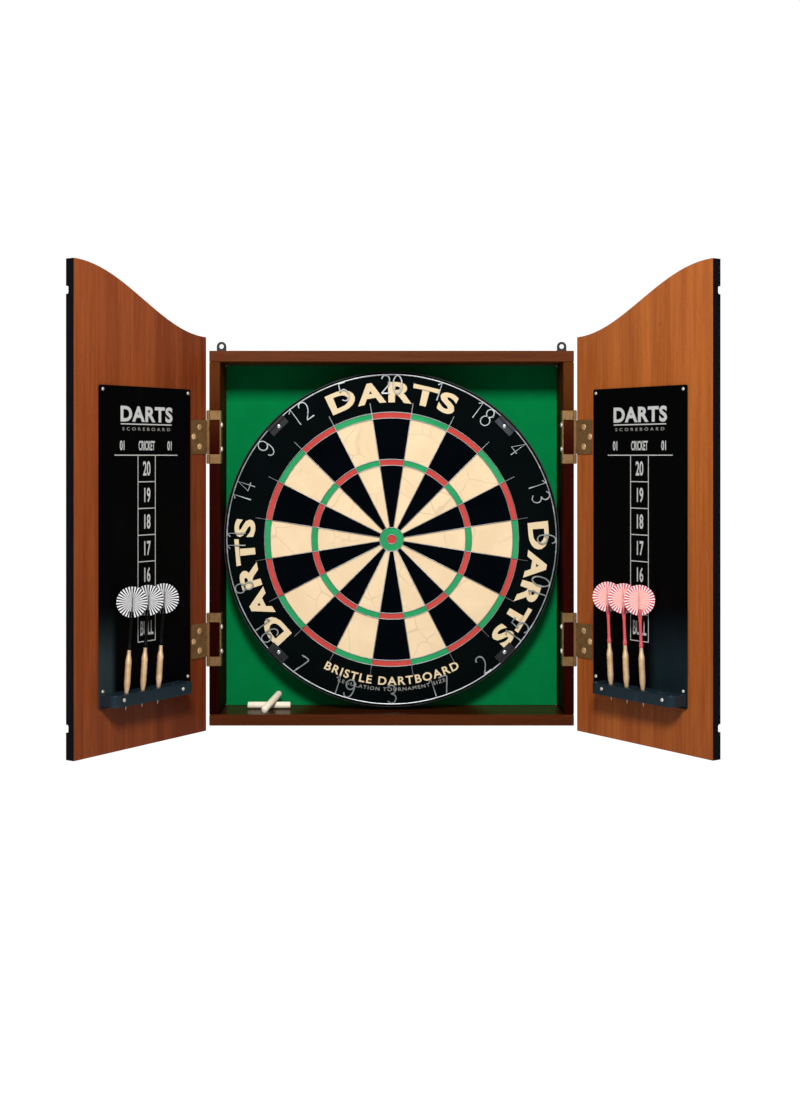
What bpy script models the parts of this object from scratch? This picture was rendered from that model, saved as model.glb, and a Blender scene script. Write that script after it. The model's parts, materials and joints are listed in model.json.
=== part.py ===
"""Dart board cabinet: a shallow box that hangs on a wall and holds a bristle board, behind two
crowned doors that carry a scoreboard, a dart rack and three darts each.

Metres. +Z is up, +X is to the right, and the front faces -Y. The origin is the centre of the back
face, where the cabinet meets the wall. The doors stand open.
"""
import math

import bmesh
import bpy
from mathutils import Matrix, Vector

LEFT, RIGHT = -1, 1
SIDES = {LEFT: "left", RIGHT: "right"}

FIT_GAP = 0.0003  # between pieces that touch
CUT_MARGIN = 0.002  # how far a cutter stands past the piece that it cuts

# Board
BOARD_DIAMETER = 0.449
BOARD_THICKNESS = 0.038
BACKING_THICKNESS = 0.006
RIM_BAND_THICKNESS = 0.0012
BOARD_SIDE_GAP = 0.00125
BOARD_BOTTOM_GAP = 0.0043
BOARD_TOP_GAP = 0.0107
BOARD_STANDOFF = 0.0045
BOARD_RECESS = 0.034  # from the cabinet's front plane back to the board's face
BOARD_SEGMENTS = 64

# Wires on the board's face, in the standard playing sizes
SECTORS = 20
BULL_RADIUS = 0.00635
WIRE_RADII = (0.0159, 0.099, 0.107, 0.162, 0.170)
SPOKE_END = 0.184
WIRE_WIDTH = 0.0013
WIRE_THICKNESS = 0.0011
NUMBER_RING_INSET = 0.0045  # from the board's edge to the middle of the ring's wire
NUMBER_RING_WIRE = 0.0026
CLIP_COUNT = 4
CLIP_WIDTH = 0.028
CLIP_REACH = 0.0085
CLIP_SHEET = 0.0008
CLIP_CLEARANCE = 0.0008  # between a straight clip and the ring that curves past it

# Board hanging
BRACKET_SHEET = 0.0016
BRACKET_HEIGHT = 0.060
BRACKET_PLATE_HALF = 0.022
BRACKET_FOOT = 0.014
BOLT_RADIUS = 0.0021
BOLT_HEAD_RADIUS = 0.0055
BOLT_HEAD_THICKNESS = 0.0016
BOLT_END_WALL = 0.001  # backing left in front of the bolt's end

# Cabinet
SIDE_RAIL = 0.014
END_RAIL = 0.0145
BACK_PANEL = 0.0045
FELT = 0.001
RAIL_BEVEL = 0.0007

# Wall hangers
HANGER_WIDTH = 0.013
HANGER_RISE = 0.0180
HANGER_TAIL = 0.030
HANGER_SHEET = 0.0015
HANGER_HOLE_RADIUS = 0.0032

# Hinges
HINGE_HEIGHT = 0.133  # above and below the middle of the cabinet
HINGE_OUT = 0.0012  # the axis stands this far outside the cabinet's side
HINGE_FORWARD = 0.0022  # and this far in front of the cabinet's front plane
HINGE_SHEET = 0.001
KNUCKLE_RADIUS = 0.0022
PIN_RADIUS = 0.001
PIN_CLEARANCE = 0.0003
PIN_END = 0.0006
FRAME_LEAF_HEIGHT = 0.0695
FRAME_LEAF_DEPTH = 0.016
FRAME_KNUCKLE = 0.012
KNUCKLE_GAP = 0.0005  # between the frame leaf's knuckles and the door leaf's, at each end
DOOR_LEAF_HEIGHT = FRAME_LEAF_HEIGHT - 2 * (FRAME_KNUCKLE + KNUCKLE_GAP)
DOOR_LEAF_WIDTH = 0.032

# Doors
DOOR_THICKNESS = 0.013
DOOR_FACE_BACK = 0.0016  # the door's inner face lies this far in front of the axis when closed
DOOR_EDGE = 0.002  # the door's hinge edge stands this far off the axis
DOOR_MEETING_GAP = 0.002
DOOR_DROP = 0.006
DOOR_SHOULDER = 0.0175
DOOR_CROWN = 0.078
DOOR_BEVEL = 0.0006
CROWN_POINTS = 24
REST_OPENING = {LEFT: math.radians(123.6), RIGHT: math.radians(125.0)}
GROOVE_INSET = 0.0325
GROOVE_WIDTH = 0.0095
GROOVE_DEPTH = 0.004

# Scoreboards
BOARD_PLATE_WIDTH = 0.164
BOARD_PLATE_HEIGHT = 0.391
BOARD_PLATE_SHEET = 0.0025
BOARD_PLATE_EDGE = 0.036  # from the hinge axis
BOARD_PLATE_BOTTOM = 0.0555  # above the door's lower edge

# Dart racks
RACK_WIDTH = 0.1424
RACK_REACH = 0.0255
RACK_HEIGHT = 0.0145
RACK_LIFT = 0.0035  # above the scoreboard's lower edge
RACK_CORNER = 0.009
RACK_HOLES = 4
RACK_PITCH = 0.0283
RACK_HOLE_RADIUS = 0.0028
RACK_HOLE_REACH = 0.0162  # from the rack's back to its row of holes
NOSE_CLEARANCE = 0.0005

# Darts
POINT_LENGTH = 0.0185
POINT_RADIUS = 0.00115
NOSE_TIP_RADIUS = 0.0014
NOSE_LENGTH = 0.007
BARREL_RADIUS = 0.0039
BARREL_LENGTH = 0.054
BARREL_TAIL_LENGTH = 0.010
SHAFT_FOOT_RADIUS = 0.0026
SHAFT_WAIST_RADIUS = 0.0019
SHAFT_LENGTH = 0.0385
FLIGHT_SLOT_DEPTH = 0.008
FLIGHT_DIAMETER = 0.038
FLIGHT_SHEET = 0.0005
DART_LEAN = {LEFT: math.radians(5.0), RIGHT: math.radians(3.0)}
# which of the rack's holes are filled, counted from the hinge
FILLED_HOLES = {LEFT: (1, 2, 3), RIGHT: (0, 1, 2)}

# Chalk
CHALK_DIAMETER = 0.009
CHALK_LENGTH = 0.058
FLAT_CHALK_PLACE = (-0.165, 0.048)  # its middle, across and behind the front plane
LEANING_CHALK_PLACE = (-0.1684, 0.008)  # its lower end, across and behind the front plane
LEANING_CHALK_HEADING = math.radians(16.4)

# Worked out from the sizes above
BOARD_RADIUS = BOARD_DIAMETER / 2
INNER_WIDTH = BOARD_DIAMETER + 2 * BOARD_SIDE_GAP
INNER_HEIGHT = BOARD_DIAMETER + BOARD_BOTTOM_GAP + BOARD_TOP_GAP
CABINET_WIDTH = INNER_WIDTH + 2 * SIDE_RAIL
CABINET_HEIGHT = INNER_HEIGHT + 2 * END_RAIL
FELT_BACK = BACK_PANEL + FIT_GAP
FELT_FRONT = FELT_BACK + FELT
BOARD_BACK = FELT_FRONT + BOARD_STANDOFF
BOARD_FACE = BOARD_BACK + BOARD_THICKNESS
CABINET_DEPTH = BOARD_FACE + BOARD_RECESS
BOARD_Z = -INNER_HEIGHT / 2 + BOARD_BOTTOM_GAP + BOARD_RADIUS
BOLT_HOLE_RADIUS = BOLT_RADIUS + FIT_GAP
NUMBER_RING_RADIUS = BOARD_RADIUS - NUMBER_RING_INSET
HINGE_X = CABINET_WIDTH / 2 + HINGE_OUT
HINGE_Y = -CABINET_DEPTH - HINGE_FORWARD
DOOR_REACH = HINGE_X - DOOR_MEETING_GAP / 2
DOOR_BOTTOM = -CABINET_HEIGHT / 2 - DOOR_DROP
PLATE_BOTTOM = DOOR_BOTTOM + BOARD_PLATE_BOTTOM
PLATE_BACK = -DOOR_FACE_BACK + FIT_GAP
RACK_BACK = PLATE_BACK + BOARD_PLATE_SHEET + FIT_GAP
RACK_BOTTOM = PLATE_BOTTOM + RACK_LIFT
RACK_TOP = RACK_BOTTOM + RACK_HEIGHT
RACK_FAR_EDGE = BOARD_PLATE_EDGE + BOARD_PLATE_WIDTH
NOSE_SEAT = ((RACK_HOLE_RADIUS - NOSE_CLEARANCE - NOSE_TIP_RADIUS)
             * NOSE_LENGTH / (BARREL_RADIUS - NOSE_TIP_RADIUS))
SHAFT_START = BARREL_LENGTH + FIT_GAP
SLOT_FLOOR = SHAFT_START + SHAFT_LENGTH


# ---------------------------------------------------------------- helpers

def clear_scene():
    for thing in list(bpy.data.objects):
        bpy.data.objects.remove(thing)


def collection(name):
    group = bpy.data.collections.new(name)
    bpy.context.scene.collection.children.link(group)
    return group


def material(name, colour, roughness, metallic=0.0):
    made = bpy.data.materials.new(name)
    made.use_nodes = True
    shader = made.node_tree.nodes["Principled BSDF"]
    shader.inputs["Base Color"].default_value = (*colour, 1.0)
    shader.inputs["Roughness"].default_value = roughness
    shader.inputs["Metallic"].default_value = metallic
    return made


def place(thing, parent=None, location=(0, 0, 0), rotation=(0, 0, 0)):
    thing.parent = parent
    thing.location = location
    thing.rotation_euler = rotation
    return thing


def part(name, mesh, finish, parent=None, location=(0, 0, 0), rotation=(0, 0, 0)):
    """One named piece of the object, with a finish of its own."""
    thing = bpy.data.objects.new(name, mesh)
    PARTS.objects.link(thing)
    if mesh.materials:
        thing.material_slots[0].link = "OBJECT"
        thing.material_slots[0].material = material(name, *finish)
    else:
        mesh.materials.append(None)
        thing.material_slots[0].link = "OBJECT"
        thing.material_slots[0].material = material(name, *finish)
    return place(thing, parent, location, rotation)


def axis_empty(name, parent=None, location=(0, 0, 0), rotation=(0, 0, 0)):
    """The axis that a moving group of pieces turns on or slides along."""
    thing = bpy.data.objects.new(name, None)
    thing.empty_display_size = 0.02
    PARTS.objects.link(thing)
    return place(thing, parent, location, rotation)


def box_mesh(name, low, high):
    low, high = Vector(low), Vector(high)
    shape = bmesh.new()
    matrix = Matrix.Translation((low + high) / 2) @ Matrix.Diagonal((*(high - low), 1))
    bmesh.ops.create_cube(shape, size=1, matrix=matrix)
    mesh = bpy.data.meshes.new(name)
    shape.to_mesh(mesh)
    shape.free()
    return mesh


def rod_mesh(name, radius, length, segments):
    """A rod along Z from the origin up."""
    shape = bmesh.new()
    bmesh.ops.create_cone(shape, cap_ends=True, segments=segments, radius1=radius,
                          radius2=radius, depth=length,
                          matrix=Matrix.Translation((0, 0, length / 2)))
    mesh = bpy.data.meshes.new(name)
    shape.to_mesh(mesh)
    shape.free()
    smooth(mesh)
    return mesh


def smooth(mesh):
    mesh.shade_smooth()
    mesh.set_sharp_from_angle(angle=math.radians(30))


def evaluated_mesh(thing, name):
    """The mesh that an object's curve or modifiers give, welded, in place of the object."""
    bpy.context.view_layer.update()
    graph = bpy.context.evaluated_depsgraph_get()
    mesh = bpy.data.meshes.new_from_object(thing.evaluated_get(graph))
    mesh.name = name
    shape = bmesh.new()
    shape.from_mesh(mesh)
    bmesh.ops.remove_doubles(shape, verts=shape.verts, dist=1e-6)
    shape.to_mesh(mesh)
    shape.free()
    bpy.data.objects.remove(thing)
    return mesh


def turned_mesh(name, profile, segments, closed=False):
    """A profile of (radius, height) points, outer side from top to bottom, turned about Z."""
    line = bpy.data.meshes.new(name)
    edges = [(i, i + 1) for i in range(len(profile) - 1)]
    if closed:
        edges.append((len(profile) - 1, 0))
    line.from_pydata([(radius, 0, height) for radius, height in profile], edges, [])
    thing = bpy.data.objects.new(name, line)
    WORK.objects.link(thing)
    turn = thing.modifiers.new("turn", "SCREW")
    turn.steps = turn.render_steps = segments
    turn.use_merge_vertices = True
    turn.merge_threshold = 1e-6
    mesh = evaluated_mesh(thing, name)
    smooth(mesh)
    return mesh


def plate_mesh(name, outlines, thickness):
    """Flat outlines in the XY plane, the first around the others, as a plate centred on it."""
    curve = bpy.data.curves.new(name, "CURVE")
    curve.dimensions = "2D"
    curve.fill_mode = "BOTH"
    curve.extrude = thickness / 2
    for outline in outlines:
        spline = curve.splines.new("POLY")
        spline.points.add(len(outline) - 1)
        for point, (x, y) in zip(spline.points, outline):
            point.co = (x, y, 0, 1)
        spline.use_cyclic_u = True
    thing = bpy.data.objects.new(name, curve)
    WORK.objects.link(thing)
    return evaluated_mesh(thing, name)


def moved(mesh, matrix):
    mesh.transform(matrix)
    return mesh


def arc(centre, radius, start, end, steps):
    """Points along an arc, both ends included, with angles in degrees."""
    angles = [math.radians(start + (end - start) * i / steps) for i in range(steps + 1)]
    return [(centre[0] + radius * math.cos(a), centre[1] + radius * math.sin(a)) for a in angles]


def circle(centre, radius, segments):
    return arc(centre, radius, 0, 360, segments)[:-1]


def boolean_mesh(name, base, others, operation):
    """The base mesh with each of the other meshes cut from it or joined to it."""
    thing = bpy.data.objects.new(name, base)
    WORK.objects.link(thing)
    tools = []
    for other in others:
        tool = bpy.data.objects.new(f"{name}_tool", other)
        tool.hide_render = True
        tool.display_type = "WIRE"
        WORK.objects.link(tool)
        change = thing.modifiers.new("change", "BOOLEAN")
        change.operation = operation
        change.object = tool
        tools.append(tool)
    mesh = evaluated_mesh(thing, name)
    for tool in tools:
        bpy.data.objects.remove(tool)
    return mesh


def cut(name, base, *cutters):
    return boolean_mesh(name, base, cutters, "DIFFERENCE")


def union(name, base, *others):
    return boolean_mesh(name, base, others, "UNION")


def chamfered(mesh, width):
    """A box's mesh with all its edges taken off, before anything is cut into it."""
    shape = bmesh.new()
    shape.from_mesh(mesh)
    bmesh.ops.bevel(shape, geom=shape.edges[:], offset=width, segments=1, affect="EDGES")
    shape.to_mesh(mesh)
    shape.free()
    return mesh


def soften(thing, width):
    bevel = thing.modifiers.new("edges", "BEVEL")
    bevel.width = width
    bevel.segments = 1
    bevel.limit_method = "ANGLE"
    bevel.angle_limit = math.radians(60)


ALONG_Y = Matrix.Rotation(math.radians(90), 4, "X")  # turns a mesh's +Z to face the front


# ---------------------------------------------------------------- finishes

DARK_WOOD = ((0.075, 0.022, 0.009), 0.3)
DOOR_WOOD = ((0.30, 0.085, 0.03), 0.4)
PANEL_WOOD = ((0.25, 0.17, 0.1), 0.7)
GREEN_FELT = ((0.005, 0.17, 0.06), 0.95)
BRISTLE = ((0.8, 0.68, 0.42), 0.95)
CHIPBOARD = ((0.30, 0.2, 0.12), 0.9)
BLACK_STEEL = ((0.02, 0.02, 0.022), 0.45, 0.6)
BRIGHT_STEEL = ((0.6, 0.61, 0.62), 0.3, 1.0)
HINGE_BRASS = ((0.4, 0.26, 0.1), 0.35, 1.0)
BLACK_PLASTIC = ((0.008, 0.01, 0.014), 0.35)
DART_BRASS = ((0.75, 0.5, 0.23), 0.3, 1.0)
SHAFT_COLOUR = {LEFT: ((0.01, 0.01, 0.01), 0.4), RIGHT: ((0.6, 0.02, 0.03), 0.4)}
FLIGHT_COLOUR = {LEFT: ((0.35, 0.34, 0.34), 0.4), RIGHT: ((0.7, 0.1, 0.12), 0.4)}
CHALK_WHITE = ((0.85, 0.78, 0.62), 0.95)


# ---------------------------------------------------------------- cabinet

def hanger_pocket(side):
    """The space cut in the rails' backs for a hanger, with its gaps."""
    middle = side * (CABINET_WIDTH - SIDE_RAIL) / 2
    half = HANGER_WIDTH / 2 + FIT_GAP
    low = (middle - half, -HANGER_SHEET - 2 * FIT_GAP, CABINET_HEIGHT / 2 - HANGER_TAIL - FIT_GAP)
    high = (middle + half, CUT_MARGIN, CABINET_HEIGHT / 2 + CUT_MARGIN)
    return box_mesh("hanger_pocket", low, high)


def build_rails():
    half_width, half_height = CABINET_WIDTH / 2, CABINET_HEIGHT / 2
    side_half = INNER_HEIGHT / 2 - FIT_GAP
    for side, word in SIDES.items():
        inner, outer = sorted((side * INNER_WIDTH / 2, side * half_width))
        rail = box_mesh("side_rail", (inner, -CABINET_DEPTH, -side_half), (outer, 0, side_half))
        rail = cut(f"side_rail_{word}", chamfered(rail, RAIL_BEVEL), hanger_pocket(side))
        part(f"side_rail_{word}", rail, DARK_WOOD)
    top = box_mesh("rail", (-half_width, -CABINET_DEPTH, INNER_HEIGHT / 2),
                   (half_width, 0, half_height))
    top = cut("top_rail", chamfered(top, RAIL_BEVEL), hanger_pocket(LEFT), hanger_pocket(RIGHT))
    part("top_rail", top, DARK_WOOD)
    bottom = box_mesh("bottom_rail", (-half_width, -CABINET_DEPTH, -half_height),
                      (half_width, 0, -INNER_HEIGHT / 2))
    soften(part("bottom_rail", bottom, DARK_WOOD), RAIL_BEVEL)


def build_back():
    x, z = INNER_WIDTH / 2 - FIT_GAP, INNER_HEIGHT / 2 - FIT_GAP
    part("back_panel", box_mesh("back_panel", (-x, -BACK_PANEL, -z), (x, 0, z)), PANEL_WOOD)
    part("felt_lining", box_mesh("felt_lining", (-x, -FELT_FRONT, -z), (x, -FELT_BACK, z)),
         GREEN_FELT)


def build_hangers():
    """Steel straps let into the rails' backs, with an eye that stands above the cabinet."""
    top, half = HANGER_RISE, HANGER_WIDTH / 2
    eye = (0, top - half)
    outline = [(-half, -HANGER_TAIL), (half, -HANGER_TAIL)] + arc(eye, half, 0, 180, 12)
    mesh = plate_mesh("hanger", [outline, circle(eye, HANGER_HOLE_RADIUS, 12)], HANGER_SHEET)
    moved(mesh, ALONG_Y)
    for side, word in SIDES.items():
        middle = side * (CABINET_WIDTH - SIDE_RAIL) / 2
        part(f"hanger_{word}", mesh, BLACK_STEEL,
             location=(middle, -FIT_GAP - HANGER_SHEET / 2, CABINET_HEIGHT / 2))


def build_bracket():
    """A pressed plate on two feet, slotted down to the board's middle for its hanging bolt."""
    foot_back = FIT_GAP
    foot_front = foot_back + BRACKET_SHEET
    plate_front = BOARD_STANDOFF - FIT_GAP
    plate_back = plate_front - BRACKET_SHEET
    rise = plate_front - foot_front
    bend = BRACKET_SHEET * math.tan(math.radians(22.5))
    inner, knee = BRACKET_PLATE_HALF, BRACKET_PLATE_HALF + rise
    outer = knee + BRACKET_FOOT
    front = [(inner, plate_front), (knee, foot_front), (outer, foot_front)]
    back = [(outer, foot_back), (knee - bend, foot_back), (inner - bend, plate_back)]
    half = front + back
    outline = half + [(-x, y) for x, y in reversed(half)]
    outline = [(x, -FELT_FRONT - y) for x, y in outline]
    bracket = plate_mesh("bracket", [outline], BRACKET_HEIGHT)
    slot = box_mesh("slot", (-BOLT_HOLE_RADIUS, -BOARD_BACK - CUT_MARGIN, -BOLT_HOLE_RADIUS),
                    (BOLT_HOLE_RADIUS, -FELT_BACK, BRACKET_HEIGHT))
    bracket = cut("board_bracket", bracket, slot)
    part("board_bracket", bracket, BLACK_STEEL, location=(0, 0, BOARD_Z))


# ---------------------------------------------------------------- board

def disc(name, radius, front, back, segments):
    """A disc about the board's axis between two depths in front of the wall."""
    mesh = rod_mesh(name, radius, front - back, segments)
    return moved(mesh, Matrix.Translation((0, -back, 0)) @ ALONG_Y)


def build_board():
    spin = axis_empty("board_axis", location=(0, 0, BOARD_Z))
    inner_radius = BOARD_RADIUS - RIM_BAND_THICKNESS
    band = [(BOARD_RADIUS, BOARD_THICKNESS), (BOARD_RADIUS, 0), (inner_radius, 0),
            (inner_radius, BOARD_THICKNESS)]
    band = turned_mesh("rim_band", band, BOARD_SEGMENTS, closed=True)
    part("rim_band", moved(band, ALONG_Y), BLACK_STEEL, spin, (0, -BOARD_BACK, 0))

    fill_radius = inner_radius - FIT_GAP
    backing_front = BOARD_BACK + BACKING_THICKNESS
    backing = disc("backing", fill_radius, backing_front, BOARD_BACK, BOARD_SEGMENTS)
    hole = disc("bolt_hole", BOLT_HOLE_RADIUS, backing_front + CUT_MARGIN,
                BOARD_BACK - CUT_MARGIN, 16)
    part("board_backing", cut("board_backing", backing, hole), CHIPBOARD, spin)
    core = disc("board_core", fill_radius, BOARD_FACE, backing_front + FIT_GAP, BOARD_SEGMENTS)
    part("board_core", core, BRISTLE, spin)

    build_spider(spin)
    build_number_ring(spin)
    build_bolt(spin, backing_front)


def build_spider(spin):
    """The flat wires between the beds: five rings in one net with twenty spokes, which run on
    past the doubles into the black surround.

    The net is a polar grid whose columns narrow to a spoke's width, so only the faces
    that lie on a wire are made.
    """
    half = WIRE_WIDTH / 2
    rows = [radius + edge for radius in WIRE_RADII for edge in (-half, half)] + [SPOKE_END]
    step = 2 * math.pi / SECTORS
    shape = bmesh.new()
    grid = []
    for radius in rows:
        spread = math.asin(half / radius)
        angles = [step * (k + 0.5) + turn for k in range(SECTORS)
                  for turn in (-spread, spread, step / 2)]
        grid.append([shape.verts.new((radius * math.cos(a), 0, radius * math.sin(a)))
                     for a in angles])
    columns = len(grid[0])
    for row in range(len(rows) - 1):
        on_ring = row % 2 == 0
        for column in range(columns):
            on_spoke = column % 3 == 0
            if on_ring or on_spoke:
                after = (column + 1) % columns
                shape.faces.new((grid[row][column], grid[row + 1][column],
                                 grid[row + 1][after], grid[row][after]))
    bmesh.ops.recalc_face_normals(shape, faces=shape.faces)
    mesh = bpy.data.meshes.new("wire_spider")
    shape.to_mesh(mesh)
    shape.free()
    spider = part("wire_spider", mesh, BRIGHT_STEEL, spin,
                  (0, -BOARD_FACE - FIT_GAP - WIRE_THICKNESS / 2, 0))
    thicken = spider.modifiers.new("wire", "SOLIDIFY")
    thicken.thickness = WIRE_THICKNESS
    thicken.offset = 0

    ring = [(BULL_RADIUS + half, WIRE_THICKNESS), (BULL_RADIUS + half, 0),
            (BULL_RADIUS - half, 0), (BULL_RADIUS - half, WIRE_THICKNESS)]
    ring = moved(turned_mesh("bull_wire", ring, 24, closed=True), ALONG_Y)
    part("bull_wire", ring, BRIGHT_STEEL, spin, (0, -BOARD_FACE - FIT_GAP, 0))


def build_number_ring(spin):
    """The loose wire ring that carries the numbers, and the clips that hold it."""
    wire = NUMBER_RING_WIRE / 2
    profile = [(NUMBER_RING_RADIUS + x, z) for x, z in reversed(circle((0, 0), wire, 6))]
    ring = moved(turned_mesh("number_ring", profile, BOARD_SEGMENTS, closed=True), ALONG_Y)
    part("number_ring", ring, BRIGHT_STEEL, spin, (0, -BOARD_FACE - FIT_GAP - wire, 0))

    riser_outer = NUMBER_RING_RADIUS - wire - CLIP_CLEARANCE
    riser_inner = riser_outer - CLIP_SHEET
    start = riser_inner - CLIP_REACH
    end = NUMBER_RING_RADIUS + wire
    low = FIT_GAP
    high = FIT_GAP + NUMBER_RING_WIRE + FIT_GAP
    outline = [(start, low), (riser_outer, low), (riser_outer, high), (end, high),
               (end, high + CLIP_SHEET), (riser_inner, high + CLIP_SHEET),
               (riser_inner, low + CLIP_SHEET), (start, low + CLIP_SHEET)]
    outline = [(x, -BOARD_FACE - y) for x, y in outline]
    clip = plate_mesh("ring_clip", [outline], CLIP_WIDTH)
    for number in range(CLIP_COUNT):
        turn = math.radians(45) - 2 * math.pi * number / CLIP_COUNT
        part(f"ring_clip_{number + 1}", clip, BRIGHT_STEEL, spin, rotation=(0, -turn, 0))


def build_bolt(spin, backing_front):
    """The round-headed bolt in the board's back, whose head hangs behind the bracket."""
    head_front = BOARD_STANDOFF - 2 * FIT_GAP - BRACKET_SHEET
    head_back = head_front - BOLT_HEAD_THICKNESS
    end = backing_front - FELT_FRONT - BOLT_END_WALL
    profile = [(0, end), (BOLT_RADIUS, end), (BOLT_RADIUS, head_front),
               (BOLT_HEAD_RADIUS, head_front), (BOLT_HEAD_RADIUS, head_back), (0, head_back)]
    bolt = moved(turned_mesh("board_bolt", profile, 16), ALONG_Y)
    part("board_bolt", bolt, BRIGHT_STEEL, spin, (0, -FELT_FRONT, 0))


# ---------------------------------------------------------------- hinges

def knuckle_outline(start_angle, end_angle):
    return arc((0, 0), KNUCKLE_RADIUS, start_angle, end_angle, 14)


def hinge_bore():
    return circle((0, 0), PIN_RADIUS + PIN_CLEARANCE, 12)


def frame_leaf_mesh(side):
    """Wraps the side rail's front edge: knuckles outside it, and a long strap on its inner wall.

    Modelled about the hinge axis, with x toward the cabinet's middle and y toward the wall.
    """
    tab_back = HINGE_FORWARD - FIT_GAP
    tab_front = tab_back - HINGE_SHEET
    wall = HINGE_OUT + SIDE_RAIL
    strap_outer = wall + FIT_GAP
    strap_inner = strap_outer + HINGE_SHEET
    strap_end = HINGE_FORWARD + FRAME_LEAF_DEPTH
    meets_front = math.degrees(math.asin(tab_front / KNUCKLE_RADIUS))
    meets_back = math.degrees(math.asin(tab_back / KNUCKLE_RADIUS))
    outline = knuckle_outline(meets_back, 360 + meets_front)
    outline += [(strap_inner, tab_front), (strap_inner, strap_end), (strap_outer, strap_end),
                (strap_outer, tab_back)]
    leaf = plate_mesh("frame_leaf", [outline, hinge_bore()], FRAME_LEAF_HEIGHT)
    half = FRAME_LEAF_HEIGHT / 2 - FRAME_KNUCKLE
    window = box_mesh("window", (-KNUCKLE_RADIUS - CUT_MARGIN, -KNUCKLE_RADIUS - CUT_MARGIN, -half),
                      (wall, KNUCKLE_RADIUS + CUT_MARGIN, half))
    leaf = cut(f"frame_leaf_{SIDES[side]}", leaf, window)
    return sided(leaf, side)


def door_leaf_mesh(side):
    """Lies on the door's inner face, with one long knuckle between the frame leaf's two."""
    back = -DOOR_FACE_BACK + FIT_GAP
    front = back + HINGE_SHEET
    meets_front = math.degrees(math.asin(front / KNUCKLE_RADIUS))
    meets_back = math.degrees(math.asin(back / KNUCKLE_RADIUS))
    outline = knuckle_outline(meets_front, 360 + meets_back)
    outline += [(DOOR_LEAF_WIDTH, back), (DOOR_LEAF_WIDTH, front)]
    leaf = plate_mesh(f"door_leaf_{SIDES[side]}", [outline, hinge_bore()], DOOR_LEAF_HEIGHT)
    return sided(leaf, side)


def sided(mesh, side):
    """A mesh modelled for the left side, mirrored for the right one."""
    if side == RIGHT:
        mesh.transform(Matrix.Diagonal((-1, 1, 1, 1)))
        mesh.flip_normals()
    return mesh


def build_hinges(side, door):
    word = SIDES[side]
    frame_leaf, door_leaf = frame_leaf_mesh(side), door_leaf_mesh(side)
    length = FRAME_LEAF_HEIGHT + 2 * PIN_END
    pin = rod_mesh(f"hinge_pin_{word}", PIN_RADIUS, length, 12)
    for level, height in (("upper", HINGE_HEIGHT), ("lower", -HINGE_HEIGHT)):
        axis = (side * HINGE_X, HINGE_Y, height)
        part(f"frame_leaf_{level}_{word}", frame_leaf, HINGE_BRASS, location=axis)
        part(f"hinge_pin_{level}_{word}", pin, HINGE_BRASS,
             location=(axis[0], axis[1], height - length / 2))
        part(f"door_leaf_{level}_{word}", door_leaf, HINGE_BRASS, door, (0, 0, height))


# ---------------------------------------------------------------- doors

def crown_height(u):
    """The height of the door's top edge at a distance from the hinge axis."""
    rise = DOOR_CROWN * (1 - math.cos(math.pi * min(u / DOOR_REACH, 1))) / 2
    return CABINET_HEIGHT / 2 + DOOR_SHOULDER + rise


def crown_line(start, end, drop):
    steps = [start + (end - start) * i / CROWN_POINTS for i in range(CROWN_POINTS + 1)]
    return [(u, crown_height(u) - drop) for u in steps]


def door_mesh(side):
    """A board with an ogee crown, and a groove routed round its outer face."""
    outline = [(DOOR_REACH, DOOR_BOTTOM), (DOOR_EDGE, DOOR_BOTTOM)]
    outline = list(reversed(outline)) + list(reversed(crown_line(DOOR_EDGE, DOOR_REACH, 0)))
    panel = plate_mesh("door_panel", [outline], DOOR_THICKNESS)
    end = DOOR_REACH + CUT_MARGIN
    near = DOOR_EDGE + GROOVE_INSET
    far = near + GROOVE_WIDTH
    outer = crown_line(near, end, GROOVE_INSET)
    inner = crown_line(far, end, GROOVE_INSET + GROOVE_WIDTH)
    low = DOOR_BOTTOM + GROOVE_INSET
    groove = list(reversed(outer)) + [(near, low), (end, low), (end, low + GROOVE_WIDTH),
                                      (far, low + GROOVE_WIDTH)] + inner
    groove = plate_mesh("groove", [groove], 2 * GROOVE_DEPTH)
    # the curves lie flat, so stand them up with their front on the door's outer face
    moved(panel, Matrix.Translation((0, -DOOR_FACE_BACK - DOOR_THICKNESS / 2, 0)) @ ALONG_Y)
    moved(groove, Matrix.Translation((0, -DOOR_FACE_BACK - DOOR_THICKNESS, 0)) @ ALONG_Y)
    return sided(cut(f"door_panel_{SIDES[side]}", panel, groove), side)


def rack_holes():
    """How far each hole is from the hinge axis, the nearest first."""
    middle = RACK_FAR_EDGE - RACK_WIDTH / 2
    return [middle + RACK_PITCH * (k - (RACK_HOLES - 1) / 2) for k in range(RACK_HOLES)]


def rack_mesh(side):
    near, far = RACK_FAR_EDGE - RACK_WIDTH, RACK_FAR_EDGE
    front = RACK_BACK + RACK_REACH
    outline = [(near, RACK_BACK), (far, RACK_BACK)]
    outline += arc((far - RACK_CORNER, front - RACK_CORNER), RACK_CORNER, 0, 90, 6)
    outline += arc((near + RACK_CORNER, front - RACK_CORNER), RACK_CORNER, 90, 180, 6)
    row = RACK_BACK + RACK_HOLE_REACH
    holes = [circle((u, row), RACK_HOLE_RADIUS, 12) for u in rack_holes()]
    mesh = plate_mesh(f"dart_rack_{SIDES[side]}", [outline] + holes, RACK_HEIGHT)
    return sided(mesh, side)


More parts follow.
